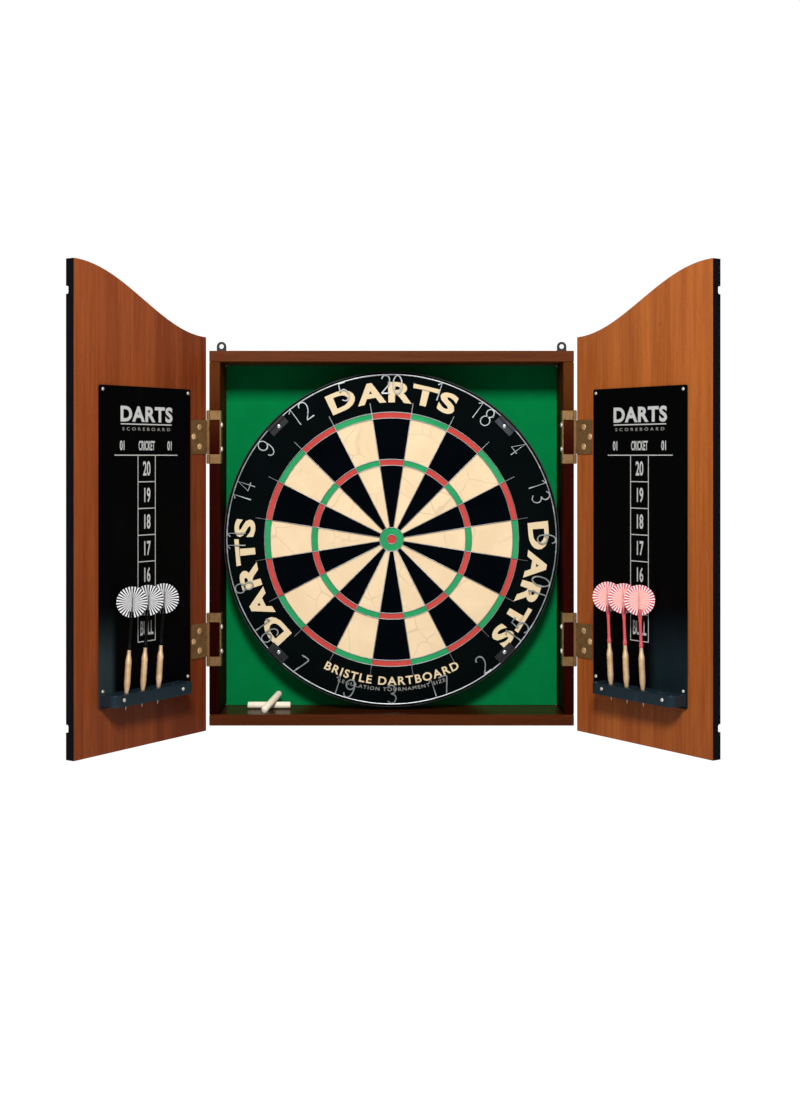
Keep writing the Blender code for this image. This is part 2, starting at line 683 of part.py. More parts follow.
def build_door(side):
    word = SIDES[side]
    door = axis_empty(f"{word}_door_axis", location=(side * HINGE_X, HINGE_Y, 0),
                      rotation=(0, 0, side * REST_OPENING[side]))
    soften(part(f"door_panel_{word}", door_mesh(side), DOOR_WOOD, door), DOOR_BEVEL)
    plate = box_mesh(f"scoreboard_{word}", (BOARD_PLATE_EDGE, PLATE_BACK, PLATE_BOTTOM),
                     (BOARD_PLATE_EDGE + BOARD_PLATE_WIDTH, PLATE_BACK + BOARD_PLATE_SHEET,
                      PLATE_BOTTOM + BOARD_PLATE_HEIGHT))
    part(f"scoreboard_{word}", sided(plate, side), BLACK_PLASTIC, door)
    part(f"dart_rack_{word}", rack_mesh(side), BLACK_PLASTIC, door,
         (0, 0, RACK_BOTTOM + RACK_HEIGHT / 2))
    build_hinges(side, door)
    build_darts(side, door)


# ---------------------------------------------------------------- darts

def barrel_mesh():
    tail = BARREL_LENGTH - BARREL_TAIL_LENGTH
    profile = [(0, BARREL_LENGTH), (SHAFT_FOOT_RADIUS, BARREL_LENGTH), (BARREL_RADIUS, tail),
               (BARREL_RADIUS, NOSE_LENGTH), (NOSE_TIP_RADIUS, 0), (POINT_RADIUS, 0),
               (POINT_RADIUS, -POINT_LENGTH + 4 * POINT_RADIUS), (0, -POINT_LENGTH)]
    return turned_mesh("dart_barrel", profile, 12)


def shaft_mesh():
    """A waisted stem whose end is slit crosswise to grip the flight."""
    top = SLOT_FLOOR + FLIGHT_SLOT_DEPTH
    waist_low, waist_high = SHAFT_START + 0.2 * SHAFT_LENGTH, SHAFT_START + 0.8 * SHAFT_LENGTH
    profile = [(0, top), (SHAFT_FOOT_RADIUS, top), (SHAFT_FOOT_RADIUS, SLOT_FLOOR),
               (SHAFT_WAIST_RADIUS, waist_high), (SHAFT_WAIST_RADIUS, waist_low),
               (SHAFT_FOOT_RADIUS, SHAFT_START), (0, SHAFT_START)]
    stem = turned_mesh("dart_stem", profile, 12)
    half = FLIGHT_SHEET / 2 + FIT_GAP
    reach = SHAFT_FOOT_RADIUS + CUT_MARGIN
    slits = [box_mesh("slit", (-x, -y, SLOT_FLOOR), (x, y, top + CUT_MARGIN))
             for x, y in ((half, reach), (reach, half))]
    return cut("dart_shaft", stem, *slits)


def flight_mesh():
    """Two round sheets crossed at right angles, standing in the shaft's slits.

    A side of the outline, not a corner, lies on the axis, so the sheets cross cleanly.
    """
    outline = arc((0, 0), FLIGHT_DIAMETER / 2, 7.5, 352.5, 23)
    middle = SLOT_FLOOR + FIT_GAP + FLIGHT_DIAMETER / 2
    sheets = []
    for turn in (0, 90):
        sheet = plate_mesh("fin", [outline], FLIGHT_SHEET)
        turned = Matrix.Rotation(math.radians(turn), 4, "Z") @ ALONG_Y
        sheets.append(moved(sheet, Matrix.Translation((0, 0, middle)) @ turned))
    return union("dart_flight", *sheets)


def build_darts(side, door):
    word = SIDES[side]
    places = rack_holes()
    for number, hole in enumerate(FILLED_HOLES[side], start=1):
        seat = (-side * places[hole], RACK_BACK + RACK_HOLE_REACH, RACK_TOP)
        axis = axis_empty(f"dart_{word}_{number}_axis", door, seat,
                          (0, side * DART_LEAN[side], 0))
        drop = (0, 0, -NOSE_SEAT)
        # the fins stand halfway between the door's face and its normal
        turn = (0, 0, math.radians(45))
        name = f"dart_{word}_{number}"
        part(f"{name}_barrel", DART_MESHES["barrel"], DART_BRASS, axis, drop)
        part(f"{name}_shaft", DART_MESHES["shaft"], SHAFT_COLOUR[side], axis, drop, turn)
        part(f"{name}_flight", DART_MESHES["flight"], FLIGHT_COLOUR[side], axis, drop, turn)


# ---------------------------------------------------------------- chalk

def build_chalk():
    """One stick flat on the bottom rail, and one that leans on it."""
    radius = CHALK_DIAMETER / 2
    floor = -INNER_HEIGHT / 2 + FIT_GAP
    stick = rod_mesh("chalk", radius, CHALK_LENGTH, 16)
    x, behind = FLAT_CHALK_PLACE
    place_flat = (x - CHALK_LENGTH / 2, behind - CABINET_DEPTH, floor + radius)
    part("chalk_1", stick, CHALK_WHITE, location=place_flat, rotation=(0, math.radians(90), 0))

    x, near = LEANING_CHALK_PLACE
    run = (behind - near) / math.cos(LEANING_CHALK_HEADING)
    # the upper stick's axis passes one diameter over the lower one's, square to both
    tilt = math.asin((CHALK_DIAMETER + 2 * FIT_GAP) / run)
    place_leaning = (x, near - CABINET_DEPTH, floor + radius * math.cos(tilt))
    part("chalk_2", stick, CHALK_WHITE, location=place_leaning,
         rotation=(-(math.pi / 2 - tilt), 0, -LEANING_CHALK_HEADING))


# ---------------------------------------------------------------- build

clear_scene()
PARTS = collection("dart_board_cabinet")
WORK = collection("cutters")
build_rails()
build_back()
build_hangers()
build_bracket()
build_board()
DART_MESHES = {"barrel": barrel_mesh(), "shaft": shaft_mesh(), "flight": flight_mesh()}
for door_side in SIDES:
    build_door(door_side)
build_chalk()
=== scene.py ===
"""Dart board cabinet: the finished look of its wood, felt, bristle, wire, brass and chalk.

Metres, +Z up, front toward -Y. Flat pieces are drawn on a face with X right, Y up and Z toward
whoever looks at it, and are then placed on the board or on a door.
"""
import json
import math

import bmesh
import bpy
from mathutils import Matrix, Vector


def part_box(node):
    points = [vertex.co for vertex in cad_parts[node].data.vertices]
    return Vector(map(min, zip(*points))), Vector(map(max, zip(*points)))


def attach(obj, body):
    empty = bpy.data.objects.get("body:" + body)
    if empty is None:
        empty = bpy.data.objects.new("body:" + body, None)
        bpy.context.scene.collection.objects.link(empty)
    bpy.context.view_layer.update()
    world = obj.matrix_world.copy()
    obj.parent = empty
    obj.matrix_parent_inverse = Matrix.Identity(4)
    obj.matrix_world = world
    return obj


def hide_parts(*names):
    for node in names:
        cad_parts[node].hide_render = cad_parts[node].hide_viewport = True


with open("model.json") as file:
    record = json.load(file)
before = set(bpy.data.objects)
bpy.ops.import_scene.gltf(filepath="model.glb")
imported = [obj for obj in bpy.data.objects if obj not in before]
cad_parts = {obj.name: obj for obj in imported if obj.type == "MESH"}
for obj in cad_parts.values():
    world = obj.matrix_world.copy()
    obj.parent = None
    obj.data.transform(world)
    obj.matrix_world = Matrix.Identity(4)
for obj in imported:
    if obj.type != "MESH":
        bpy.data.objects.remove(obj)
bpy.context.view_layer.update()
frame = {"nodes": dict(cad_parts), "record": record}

LEFT, RIGHT = -1, 1
SIDES = {LEFT: "left", RIGHT: "right"}
JOINTS = {joint["name"]: joint for joint in frame["record"]["behaviour"]["joints"]}

# Board, in the standard playing sizes
NUMBERS = (20, 1, 18, 4, 13, 6, 10, 15, 2, 17, 3, 19, 7, 16, 8, 11, 14, 9, 12, 5)
SECTOR = math.radians(18)
BULL_RADIUS = 0.00635
OUTER_BULL_RADIUS = 0.0159
TREBLE_RADII = (0.099, 0.107)
DOUBLE_RADII = (0.162, 0.170)
SPOKE_END = 0.184
FACE_RINGS = sorted((*DOUBLE_RADII, *TREBLE_RADII, OUTER_BULL_RADIUS, BULL_RADIUS,
                     0.196, 0.134, 0.058), reverse=True)  # the last three only shorten the faces
ROUND_SEGMENTS = 240  # divides into the twenty sectors, whose sides fall on half steps of 9 degrees
BAND_WALL = 0.0012
BAND_EASE = 0.0003
NUMERAL_HEIGHT = 0.0240
NUMERAL_WIDTH = 0.0115
NUMERAL_GAP = 0.0045
NUMERAL_WIRE = 0.00115
LOWER_NUMBERS = (10, 15, 2, 17, 3, 19, 7, 16, 8)  # these stand with their tops to the middle
CLIP_SCREW_RADIUS = 0.2135

# Doors
DOOR_SHOULDER = 0.0175  # the crown's low end above the cabinet's top
CROWN_STEPS = 96
GROOVE_INSET = 0.0325
GROOVE_WIDTH = 0.0095
GROOVE_DEPTH = 0.004

# Scoreboard lettering, on the door's face, from the hinge axis and the middle of the cabinet
LADDER_MIDDLE = {LEFT: 0.1182, RIGHT: 0.1203}
LADDER_WIDTH = 0.0312
LADDER_TOP = 0.109
CELL_HEIGHT = 0.0331
HEADER_REACH = 0.0570  # the header line, each way from the ladder's middle
LABEL_REACH = 0.0427
LINE_WIDTH = 0.0011
HEADER_WORDS = (("01", -LABEL_REACH, 0.60), ("CRICKET", 0, 0.45), ("01", LABEL_REACH, 0.60))
LADDER_WORDS = ("20", "19", "18", "17", "16", "15", "BULL")
PRINT_LIFT = 0.00004
PRINT_DEPTH = 0.00008
PAINTED_SHEEN_EDGE = {LEFT: (0.334, 0.341), RIGHT: (0.316, 0.327)}  # where the painted reflection starts, across
# the colours of a blue-grey painted reflection, a sheen on each scoreboard
PAINTED_SHEEN = {LEFT: (0.0240, 0.0380, 0.0440), RIGHT: (0.0075, 0.0170, 0.0215)}

# Racks, seen from above: along the door, and out from the scoreboard
RACK_CORNER = 0.009
RACK_HOLE_PITCH = 0.0283
RACK_HOLE_ROW = 0.0162
RACK_HOLE_RADIUS = 0.0028
COUNTERSINK_RADIUS = 0.0040
RACK_SCREWS = (0.0793, 0.1848)  # from the hinge axis

# Hinges: (out from the axis, rise, turn) on a leaf and (rise, turn) on a strap
LEAF_SCREWS = ((0.0163, 0.0128, 10), (0.0280, 0, 65), (0.0163, -0.0128, 40))
STRAP_SCREWS = ((0.016, 25), (-0.016, 70))
KNUCKLE_END = 0.010  # the leaf is flat from here out

# Painted light and shade on the wood: where each starts and is full
HINGE_SHADE = (-0.330, -0.245)  # across, on the left door
RAIL_TOP_LIGHT = (0.110, 0.225)  # height, on the side rails
INNER_SHADE = (-0.0818, -0.0795)  # depth, behind a rail's front
TOP_LIT_BROWN = (0.115, 0.034, 0.0075)

# Darts, from the point's tip
POINT_LENGTH = 0.0185
BARREL_GROOVES = 13
RAYS = 30
WASHED_SHARE = 0.64  # of a flight's radius, inside which its print is washed out
DART_WORDS = {side: [f"dart_{word}_{number}" for number in (1, 2, 3)]
              for side, word in SIDES.items()}
# rings of (radius, height): from the tip, on from the point's root, and back from the barrel's end
POINT_RINGS = ((0.00015, 0), (0.00055, 0.0020), (0.0010, 0.0060), (0.00115, 0.010))
NOSE_RINGS = ((0.0017, 0), (0.0025, 0.0035), (0.0031, 0.0075), (0.0036, 0.0115))
TAIL_RINGS = ((0.0035, 0.0115), (0.0029, 0.0085), (0.0024, 0.0060), (0.0022, 0.0030), (0.0022, 0))

CHALK_RADIUS = 0.0045


# ---------------------------------------------------------------- hands on meshes

def clear_selection():
    if bpy.context.object and bpy.context.object.mode == "EDIT":
        bpy.ops.object.mode_set(mode="OBJECT")
    bpy.ops.object.select_all(action="DESELECT")


def named(name):
    thing = bpy.context.object
    thing.name = name
    thing.data.name = name
    return thing


def pick(*things):
    clear_selection()
    for thing in things:
        thing.select_set(True)
    bpy.context.view_layer.objects.active = things[0]
    return things[0]


def edit(thing):
    pick(thing)
    bpy.ops.object.mode_set(mode="EDIT")


def leave():
    bpy.ops.object.mode_set(mode="OBJECT")
    return bpy.context.object


def choose(test):
    """In edit mode, selects only the faces whose middle and normal pass the test."""
    bpy.ops.mesh.select_mode(type="FACE")
    bpy.ops.mesh.select_all(action="DESELECT")
    mesh = bmesh.from_edit_mesh(bpy.context.object.data)
    for face in mesh.faces:
        face.select = test(face.calc_center_median(), face.normal)
    mesh.select_flush_mode()
    bmesh.update_edit_mesh(bpy.context.object.data)


def close_up(thing):
    """Merges doubled corners and turns every face outwards."""
    edit(thing)
    bpy.ops.mesh.select_all(action="SELECT")
    bpy.ops.mesh.remove_doubles(threshold=0.000002)
    bpy.ops.mesh.normals_make_consistent(inside=False)
    return leave()


def work(thing, kind, **settings):
    """Adds one modifier and applies it."""
    pick(thing)
    modifier = thing.modifiers.new(kind.title(), kind)
    for key, value in settings.items():
        setattr(modifier, key, value)
    bpy.ops.object.modifier_apply(modifier=modifier.name)
    return thing


def round_edges(thing, width, segments=2, angle=35):
    return work(thing, "BEVEL", width=width, segments=segments, limit_method="ANGLE",
                angle_limit=math.radians(angle), harden_normals=False)


def carve(thing, *cutters):
    for cutter in cutters:
        work(thing, "BOOLEAN", operation="DIFFERENCE", object=cutter, solver="EXACT")
        bpy.data.objects.remove(cutter)
    return thing


def join(name, *things):
    pick(*things)
    if len(things) > 1:
        bpy.ops.object.join()
    return named(name)


def copy_of(thing, name, place=None):
    copy = bpy.data.objects.new(name, thing.data.copy())
    bpy.context.collection.objects.link(copy)
    if place is not None:
        copy.data.transform(place)
    return copy


def smooth(thing, angle=35):
    pick(thing)
    bpy.ops.object.shade_smooth_by_angle(angle=math.radians(angle))
    return thing


def smooth_flats(thing, angle=35):
    """Smooths a flat piece with rounded edges, whose big faces still shade as flat."""
    return work(smooth(thing, angle), "WEIGHTED_NORMAL", keep_sharp=True)


def turned(name, rings, segments=48):
    """A round piece about Z: each ring of (radius, height) is drawn out of the one before."""
    clear_selection()
    radius, height = rings[0]
    bpy.ops.mesh.primitive_circle_add(vertices=segments, radius=radius, fill_type="NGON",
                                      location=(0, 0, height))
    thing = named(name)
    thing.data.transform(thing.matrix_world)
    thing.location = (0, 0, 0)
    edit(thing)
    bpy.ops.mesh.select_all(action="SELECT")
    for next_radius, next_height in rings[1:]:
        rise = (0, 0, next_height - height)
        bpy.ops.mesh.extrude_region_move(TRANSFORM_OT_translate={"value": rise})
        grow = next_radius / radius
        bpy.ops.transform.resize(value=(grow, grow, 1), center_override=(0, 0, next_height))
        radius, height = next_radius, next_height
    bpy.ops.mesh.select_all(action="SELECT")
    bpy.ops.mesh.normals_make_consistent(inside=False)
    return leave()


def sheet(name, outline, thickness, floor=0.0):
    """A flat sheet cut to the outline, which stands on its floor height."""
    clear_selection()
    bpy.ops.mesh.primitive_circle_add(vertices=len(outline), fill_type="NGON")
    thing = named(name)
    for corner, (x, y) in zip(thing.data.vertices, outline):
        corner.co = (x, y, floor)
    edit(thing)
    bpy.ops.mesh.select_all(action="SELECT")
    bpy.ops.mesh.extrude_region_move(TRANSFORM_OT_translate={"value": (0, 0, thickness)})
    bpy.ops.mesh.select_all(action="SELECT")
    bpy.ops.mesh.normals_make_consistent(inside=False)
    return leave()


def ring(name, radius, wire, height):
    """A loop of wire about Z."""
    clear_selection()
    bpy.ops.mesh.primitive_torus_add(major_radius=radius, minor_radius=wire,
                                     major_segments=ROUND_SEGMENTS, minor_segments=10)
    thing = named(name)
    edit(thing)
    bpy.ops.mesh.select_all(action="SELECT")
    bpy.ops.transform.translate(value=(0, 0, height))
    return leave()


def bent_wire(name, strokes, radius):
    """Wire bent along strokes of (smooth, closed, points), drawn flat."""
    clear_selection()
    bpy.ops.curve.primitive_bezier_curve_add()
    thing = named(name)
    curve = thing.data
    curve.dimensions = "3D"
    curve.bevel_depth = radius
    curve.bevel_resolution = 1
    curve.resolution_u = 5
    curve.use_fill_caps = True
    curve.splines.clear()
    for bends, closed, points in strokes:
        spline = curve.splines.new("BEZIER")
        spline.bezier_points.add(len(points) - 1)
        spline.use_cyclic_u = closed
        for knot, (x, y) in zip(spline.bezier_points, points):
            knot.co = (x, y, 0)
            knot.handle_left_type = knot.handle_right_type = "AUTO" if bends else "VECTOR"
    bpy.ops.object.convert(target="MESH")
    return named(name)


def lettering(name, words, cap_height, bold=0.0, width=1.0, gap=1.0):
    """Words as thin raised ink, centred on the origin, with their caps from Y = 0 up."""
    clear_selection()
    bpy.ops.object.text_add()
    thing = named(name)
    text = thing.data
    text.body = words
    text.align_x = "CENTER"
    text.size = cap_height / 0.73
    text.space_character = gap
    text.offset = bold * cap_height
    text.resolution_u = 4
    text.extrude = PRINT_DEPTH / 2
    bpy.ops.object.convert(target="MESH")
    thing = named(name)
    thing.data.transform(Matrix.Diagonal((width, 1, 1, 1)))
    thing.data.transform(Matrix.Translation((0, 0, PRINT_LIFT + PRINT_DEPTH / 2)))
    return close_up(thing)


def wrap(thing, radius, middle, outward=True):
    """Bends flat lettering round a circle, with its tops away from the centre or toward it."""
    way = 1 if outward else -1
    for corner in thing.data.vertices:
        angle = middle - way * corner.co.x / radius
        reach = radius + way * corner.co.y
        corner.co.x = reach * math.cos(angle)
        corner.co.y = reach * math.sin(angle)
    return thing


def rounded_rectangle(low, high, radius, steps=5):
    centres = ((high[0] - radius, high[1] - radius, 0), (low[0] + radius, high[1] - radius, 90),
               (low[0] + radius, low[1] + radius, 180), (high[0] - radius, low[1] + radius, 270))
    outline = []
    for x, y, start in centres:
        for step in range(steps + 1):
            angle = math.radians(start + 90 * step / steps)
            outline.append((x + radius * math.cos(angle), y + radius * math.sin(angle)))
    return outline


# ---------------------------------------------------------------- places

def local_box(node, place, beyond=0.0):
    """A CAD node's lowest and highest corners in a placed frame, for X beyond a distance."""
    back = place.inverted()
    corners = [back @ vertex.co for vertex in frame["nodes"][node].data.vertices]
    corners = [corner for corner in corners if abs(corner.x) >= beyond]
    low = Vector([min(corner[axis] for corner in corners) for axis in range(3)])
    high = Vector([max(corner[axis] for corner in corners) for axis in range(3)])
    return low, high


def door_place(side):
    """Puts a piece drawn on a door's inner face, with the hinge axis at its origin, on the door."""
    joint = JOINTS[f"{SIDES[side]}_door_hinge"]
    opening = math.radians(-joint["range_deg"][0])
    facing = Matrix(((-1, 0, 0, 0), (0, 0, 1, 0), (0, 1, 0, 0), (0, 0, 0, 1)))
    return Matrix.Translation(joint["pos_m"]) @ Matrix.Rotation(side * opening, 4, "Z") @ facing


def board_place():
    """Puts a piece drawn on the board's face on the board."""
    low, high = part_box("rim_band")
    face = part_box("board_core")[0][1]
    facing = Matrix(((1, 0, 0, 0), (0, 0, -1, 0), (0, 1, 0, 0), (0, 0, 0, 1)))
    return Matrix.Translation((0, face, (low[2] + high[2]) / 2)) @ facing


def dart_place(name, side):
    """Puts a dart drawn about Z, with its point's tip at the origin, in its hole of the rack.

    The fins stand halfway between the door's face and its normal.
    """
    axis = Vector(JOINTS[f"{name}_lift"]["axis"]).normalized()
    corners = frame["nodes"][f"{name}_barrel"].data.vertices
    tip = min((vertex.co for vertex in corners), key=lambda corner: corner.dot(axis))
    normal = door_place(side).to_3x3() @ Vector((0, 0, 1))
    across = normal.cross(axis).normalized()
    turn = Matrix((across, axis.cross(across), axis)).transposed().to_4x4()
    return Matrix.Translation(tip) @ turn @ Matrix.Rotation(math.radians(45), 4, "Z")


def stick_place(node):
    """Puts a stick drawn about Z, with its middle at the origin, on a CAD cylinder."""
    corners = {tuple(round(value, 6) for value in vertex.co)
               for vertex in frame["nodes"][node].data.vertices}
    corners = [Vector(corner) for corner in sorted(corners)]
    low, high = (Vector(corner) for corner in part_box(node))
    middle = (low + high) / 2
    lead = max(corners, key=lambda corner: (corner - middle).length) - middle
    near = [corner for corner in corners if (corner - middle).dot(lead) > 0]
    end = sum(near, Vector()) / len(near) - middle
    return Matrix.Translation(middle) @ end.to_track_quat("Z", "Y").to_matrix().to_4x4(), end.length


# ---------------------------------------------------------------- finishes

class Value:
    """A number or colour that varies over a surface; sums on it add Math nodes."""

    def __init__(self, finish, socket):
        self.finish = finish
        self.socket = socket

    def math(self, operation, *values):
        return self.finish.node("ShaderNodeMath", {"operation": operation}, dict(enumerate(values)))

    def __add__(self, other):
        return self.math("ADD", self, other)

    def __radd__(self, other):
        return self.math("ADD", other, self)

    def __sub__(self, other):
        return self.math("SUBTRACT", self, other)

    def __rsub__(self, other):
        return self.math("SUBTRACT", other, self)

    def __mul__(self, other):
        return self.math("MULTIPLY", self, other)

    def from_to(self, low, high):
        """0 below low, 1 above high, and a soft step between them; high may be the smaller."""
        settings = {"interpolation_type": "SMOOTHSTEP"}
        return self.finish.node("ShaderNodeMapRange", settings,
                                {"Value": self, "From Min": low, "From Max": high})


class Finish:
    """One material, its Principled shader and the nodes that feed it."""

    def __init__(self, name, **constants):
        self.material = bpy.data.materials.new(name)
        self.material.use_nodes = True
        self.tree = self.material.node_tree
        self.shader = self.tree.nodes["Principled BSDF"]
        self.set(**constants)

    def set(self, **inputs):
        for key, value in inputs.items():
            self.feed(self.shader.inputs[key.replace("_", " ")], value)

    def feed(self, socket, value):
        if isinstance(value, Value):
            self.tree.links.new(value.socket, socket)
        elif socket.type == "RGBA" and len(value) == 3:
            socket.default_value = (*value, 1)
        else:
            socket.default_value = value

    def node(self, kind, settings=None, sockets=None, output=0):
        node = self.tree.nodes.new(kind)
        for key, value in (settings or {}).items():
            setattr(node, key, value)
        for key, value in (sockets or {}).items():
            self.feed(node.inputs[key], value)
        return Value(self, node.outputs[output])

    def where(self, scale=(1, 1, 1), turn=(0, 0, 0), move=(0, 0, 0)):
        place = self.node("ShaderNodeTexCoord", output="Object")
        return self.node("ShaderNodeMapping", None,
                         {"Vector": place, "Scale": scale, "Rotation": turn, "Location": move})

    def axes(self):
        """The piece's X, Y and Z places."""
        place = self.node("ShaderNodeTexCoord", output="Object")
        split = self.tree.nodes.new("ShaderNodeSeparateXYZ")
        self.feed(split.inputs[0], place)
        return [Value(self, socket) for socket in split.outputs]

    def noise(self, place, scale, detail=3.0, rough=0.5, warp=0.0):
        return self.node("ShaderNodeTexNoise", None,
                         {"Vector": place, "Scale": scale, "Detail": detail, "Roughness": rough,
                          "Distortion": warp})

    def cells(self, place, scale, feature="F1"):
        return self.node("ShaderNodeTexVoronoi", {"feature": feature},
                         {"Vector": place, "Scale": scale})

    def mix(self, amount, first, second):
        settings = {"data_type": "RGBA", "clamp_factor": True}
        return self.node("ShaderNodeMix", settings, {0: amount, 6: first, 7: second}, output=2)

    def bump(self, height, depth, strength):
        return self.node("ShaderNodeBump", None,
                         {"Height": height, "Distance": depth, "Strength": strength})


def dimmed(colour, share):
    return tuple(share * channel for channel in colour)


def wood(name, dark, light, along, streak=38.0, rough=0.42, coat=0.2, offset=0.0, foot_shade=0.0,
         shine=0.12, shade=0.0, top_light=0.0, inside=0.0):
    """Lacquered wood: broad streaks, fine fibre and short open pores, drawn out along one axis.

    Painted shade darkens an upright board toward its foot, the left door beside its hinges and
    a rail's inner faces behind its front. Painted light makes the top of a side rail lighter and
    browner.
    """
    finish = Finish(name, Coat_Roughness=0.2, Specular_IOR_Level=shine)
    stretch = [1.0, 1.0, 1.0]
    stretch[along] = 0.035
    grain = finish.where(scale=stretch, move=(offset, offset * 0.7, offset * 1.3))
    streaks = finish.noise(grain, streak, detail=2.5, rough=0.45, warp=0.35)
    lines = finish.noise(grain, streak * 7, detail=3, rough=0.6, warp=0.25)
    fibre = finish.noise(grain, streak * 26, detail=4, rough=0.6)
    stretch[along] = 0.075
    dashes = finish.noise(finish.where(scale=stretch), 1500, detail=2, rough=0.5)
    pores = dashes.from_to(0.60, 0.70) * fibre.from_to(0.42, 0.56)
    tone = streaks.from_to(0.28, 0.72) * 0.34 + lines.from_to(0.22, 0.78) * 0.38 + fibre * 0.28
    across, depth, height = finish.axes()
    # painted shade: the board darker toward its foot and lighter toward its top
    if foot_shade:
        tone = tone + height * foot_shade
    # painted shade beside the left door's hinges
    if shade:
        tone = tone - across.from_to(*HINGE_SHADE) * shade
    colour = finish.mix(tone, dark, light)
    # painted light: a side rail's top lighter and browner
    if top_light:
        colour = finish.mix(height.from_to(*RAIL_TOP_LIGHT) * top_light, colour, TOP_LIT_BROWN)
    # painted shade on a rail's inner faces, behind its front
    if inside:
        colour = finish.mix(depth.from_to(*INNER_SHADE) * inside, colour, dimmed(dark, 0.3))
    colour = finish.mix(pores * 0.55, colour, dimmed(dark, 0.35))
    wear = finish.noise(finish.where(), 22, detail=4, rough=0.6)
    finish.set(Base_Color=colour, Roughness=rough + pores * 0.25 + (wear - 0.5) * 0.16,
               Coat_Weight=coat - pores * coat * 0.5,
               Normal=finish.bump(fibre * 0.35 - pores, 0.00004, 0.6))
    return finish.material


def black_door_edge():
    """Black edging tape with a faint long texture."""
    finish = Finish("black_edging", Specular_IOR_Level=0.08)
    grain = finish.where(scale=(1, 1, 0.06))
    lines = finish.noise(grain, 700, detail=3)
    finish.set(Base_Color=finish.mix(lines, (0.0012, 0.0010, 0.0014), (0.0050, 0.0042, 0.0055)),
               Roughness=0.42 + lines * 0.16, Normal=finish.bump(lines, 0.00003, 0.5))
    return finish.material


def felt():
    """Green flock: a short soft nap that lies in patches, with loose specks."""
    finish = Finish("green_flock", Sheen_Weight=0.04, Sheen_Roughness=0.5, Specular_IOR_Level=0.02)
    nap = finish.noise(finish.where(), 2600, detail=3, rough=0.65)
    patch = finish.noise(finish.where(), 42, detail=4, rough=0.6)
    colour = finish.mix(patch * 0.6 + nap * 0.4, (0.0002, 0.135, 0.034), (0.0008, 0.235, 0.062))
    specks = finish.cells(finish.where(), 900).from_to(0.10, 0.03) * patch.from_to(0.5, 0.62)
    colour = finish.mix(specks * 0.3, colour, (0.02, 0.30, 0.11))
    finish.set(Base_Color=colour, Roughness=0.93 + nap * 0.05,
               Normal=finish.bump(nap + specks, 0.00022, 0.5))
    return finish.material


def bristle(name, dark, light, crack=0.0, shine=0.2):
    """Packed bristle seen end on: fine speckle, dart holes and, where it shows, hair cracks."""
    finish = Finish(name, Specular_IOR_Level=shine)
    ends = finish.cells(finish.where(), 2300)
    speckle = finish.noise(finish.where(), 1500, detail=4, rough=0.7)
    cloud = finish.noise(finish.where(), 26, detail=3, rough=0.5)
    tone = speckle.from_to(0.25, 0.75) * 0.55 + cloud.from_to(0.3, 0.7) * 0.35 + ends * 0.12
    colour = finish.mix(tone, dark, light)
    holes = finish.cells(finish.where(), 120).from_to(0.055, 0.035) * cloud.from_to(0.50, 0.60)
    height = speckle * 0.5 + ends * 0.3 - holes
    if crack:
        sway = finish.noise(finish.where(), 30, detail=2)
        place = finish.node("ShaderNodeVectorMath", {"operation": "ADD"},
                            {0: finish.where(), 1: finish.node("ShaderNodeCombineXYZ", None,
                             {"X": sway * 0.022, "Z": sway * -0.018})})
        gap = finish.cells(place, 21, feature="DISTANCE_TO_EDGE")
        line = gap.from_to(0.020, 0.004) * cloud.from_to(0.38, 0.55)
        colour = finish.mix(line * crack, colour, dimmed(dark, 0.45))
        height = height - line * 0.6
    colour = finish.mix(holes * 0.5, colour, dimmed(dark, 0.25))
    finish.set(Base_Color=colour, Roughness=0.78 + speckle * 0.14,
               Normal=finish.bump(height, 0.00018, 0.45))
    return finish.material


def ink(name, colour):
    """Screen-printed ink, a little uneven and worn through in specks."""
    finish = Finish(name, Specular_IOR_Level=0.3)
    speckle = finish.noise(finish.where(), 1300, detail=4, rough=0.7)
    patch = finish.noise(finish.where(), 60, detail=2)
    finish.set(Base_Color=finish.mix(speckle.from_to(0.62, 0.40), dimmed(colour, 0.72), colour),
               Roughness=0.5 + patch * 0.2, Normal=finish.bump(speckle, 0.00003, 0.4))
    return finish.material


def metal(name, dark, light, rough, brush=(1, 1, 1), metallic=1.0, tarnish=None):
    """Worn metal: soft clouds of tone, fine scratches and duller patches."""
    finish = Finish(name)
    cloud = finish.noise(finish.where(), 110, detail=4, rough=0.6)
    scratch = finish.noise(finish.where(scale=brush), 900, detail=3, rough=0.6)
    colour = finish.mix(cloud.from_to(0.3, 0.7) * 0.6 + scratch * 0.4, dark, light)
    patch = cloud.from_to(0.52, 0.66)
    if tarnish:
        colour = finish.mix(patch * 0.6, colour, tarnish)
    finish.set(Base_Color=colour, Metallic=metallic - patch * 0.15,
               Roughness=rough + scratch * 0.14 + patch * 0.12,
               Normal=finish.bump(scratch + cloud * 0.5, 0.00002, 0.5))
    return finish.material


def lacquered_plate(side):
    """A scoreboard's black chalk face, with a painted blue-grey reflection in its far lower corner.
    """
    finish = Finish(f"black_scoreboard_{SIDES[side]}", Specular_IOR_Level=0.04)
    wipe = finish.noise(finish.where(scale=(1, 1, 0.35), turn=(0, 0.5, 0)), 34, detail=5,
                        rough=0.62)
    grit = finish.noise(finish.where(), 2200, detail=2)
    across, _, height = finish.axes()
    # painted reflection: a blue-grey sheen toward the far lower corner, stronger where the wipes
    # are
    painted_sheen = (across * side).from_to(*PAINTED_SHEEN_EDGE[side]) * height.from_to(-0.070, -0.150)
    colour = finish.mix(wipe.from_to(0.55, 0.85) * 0.3, (0.0004, 0.0006, 0.0009),
                        (0.0030, 0.0042, 0.0058))
    colour = finish.mix(painted_sheen * (0.5 + wipe * 0.7), colour, PAINTED_SHEEN[side])
    finish.set(Base_Color=colour, Roughness=0.44 + grit * 0.1 + painted_sheen * 0.1,
               Normal=finish.bump(grit, 0.00003, 0.35))
    return finish.material


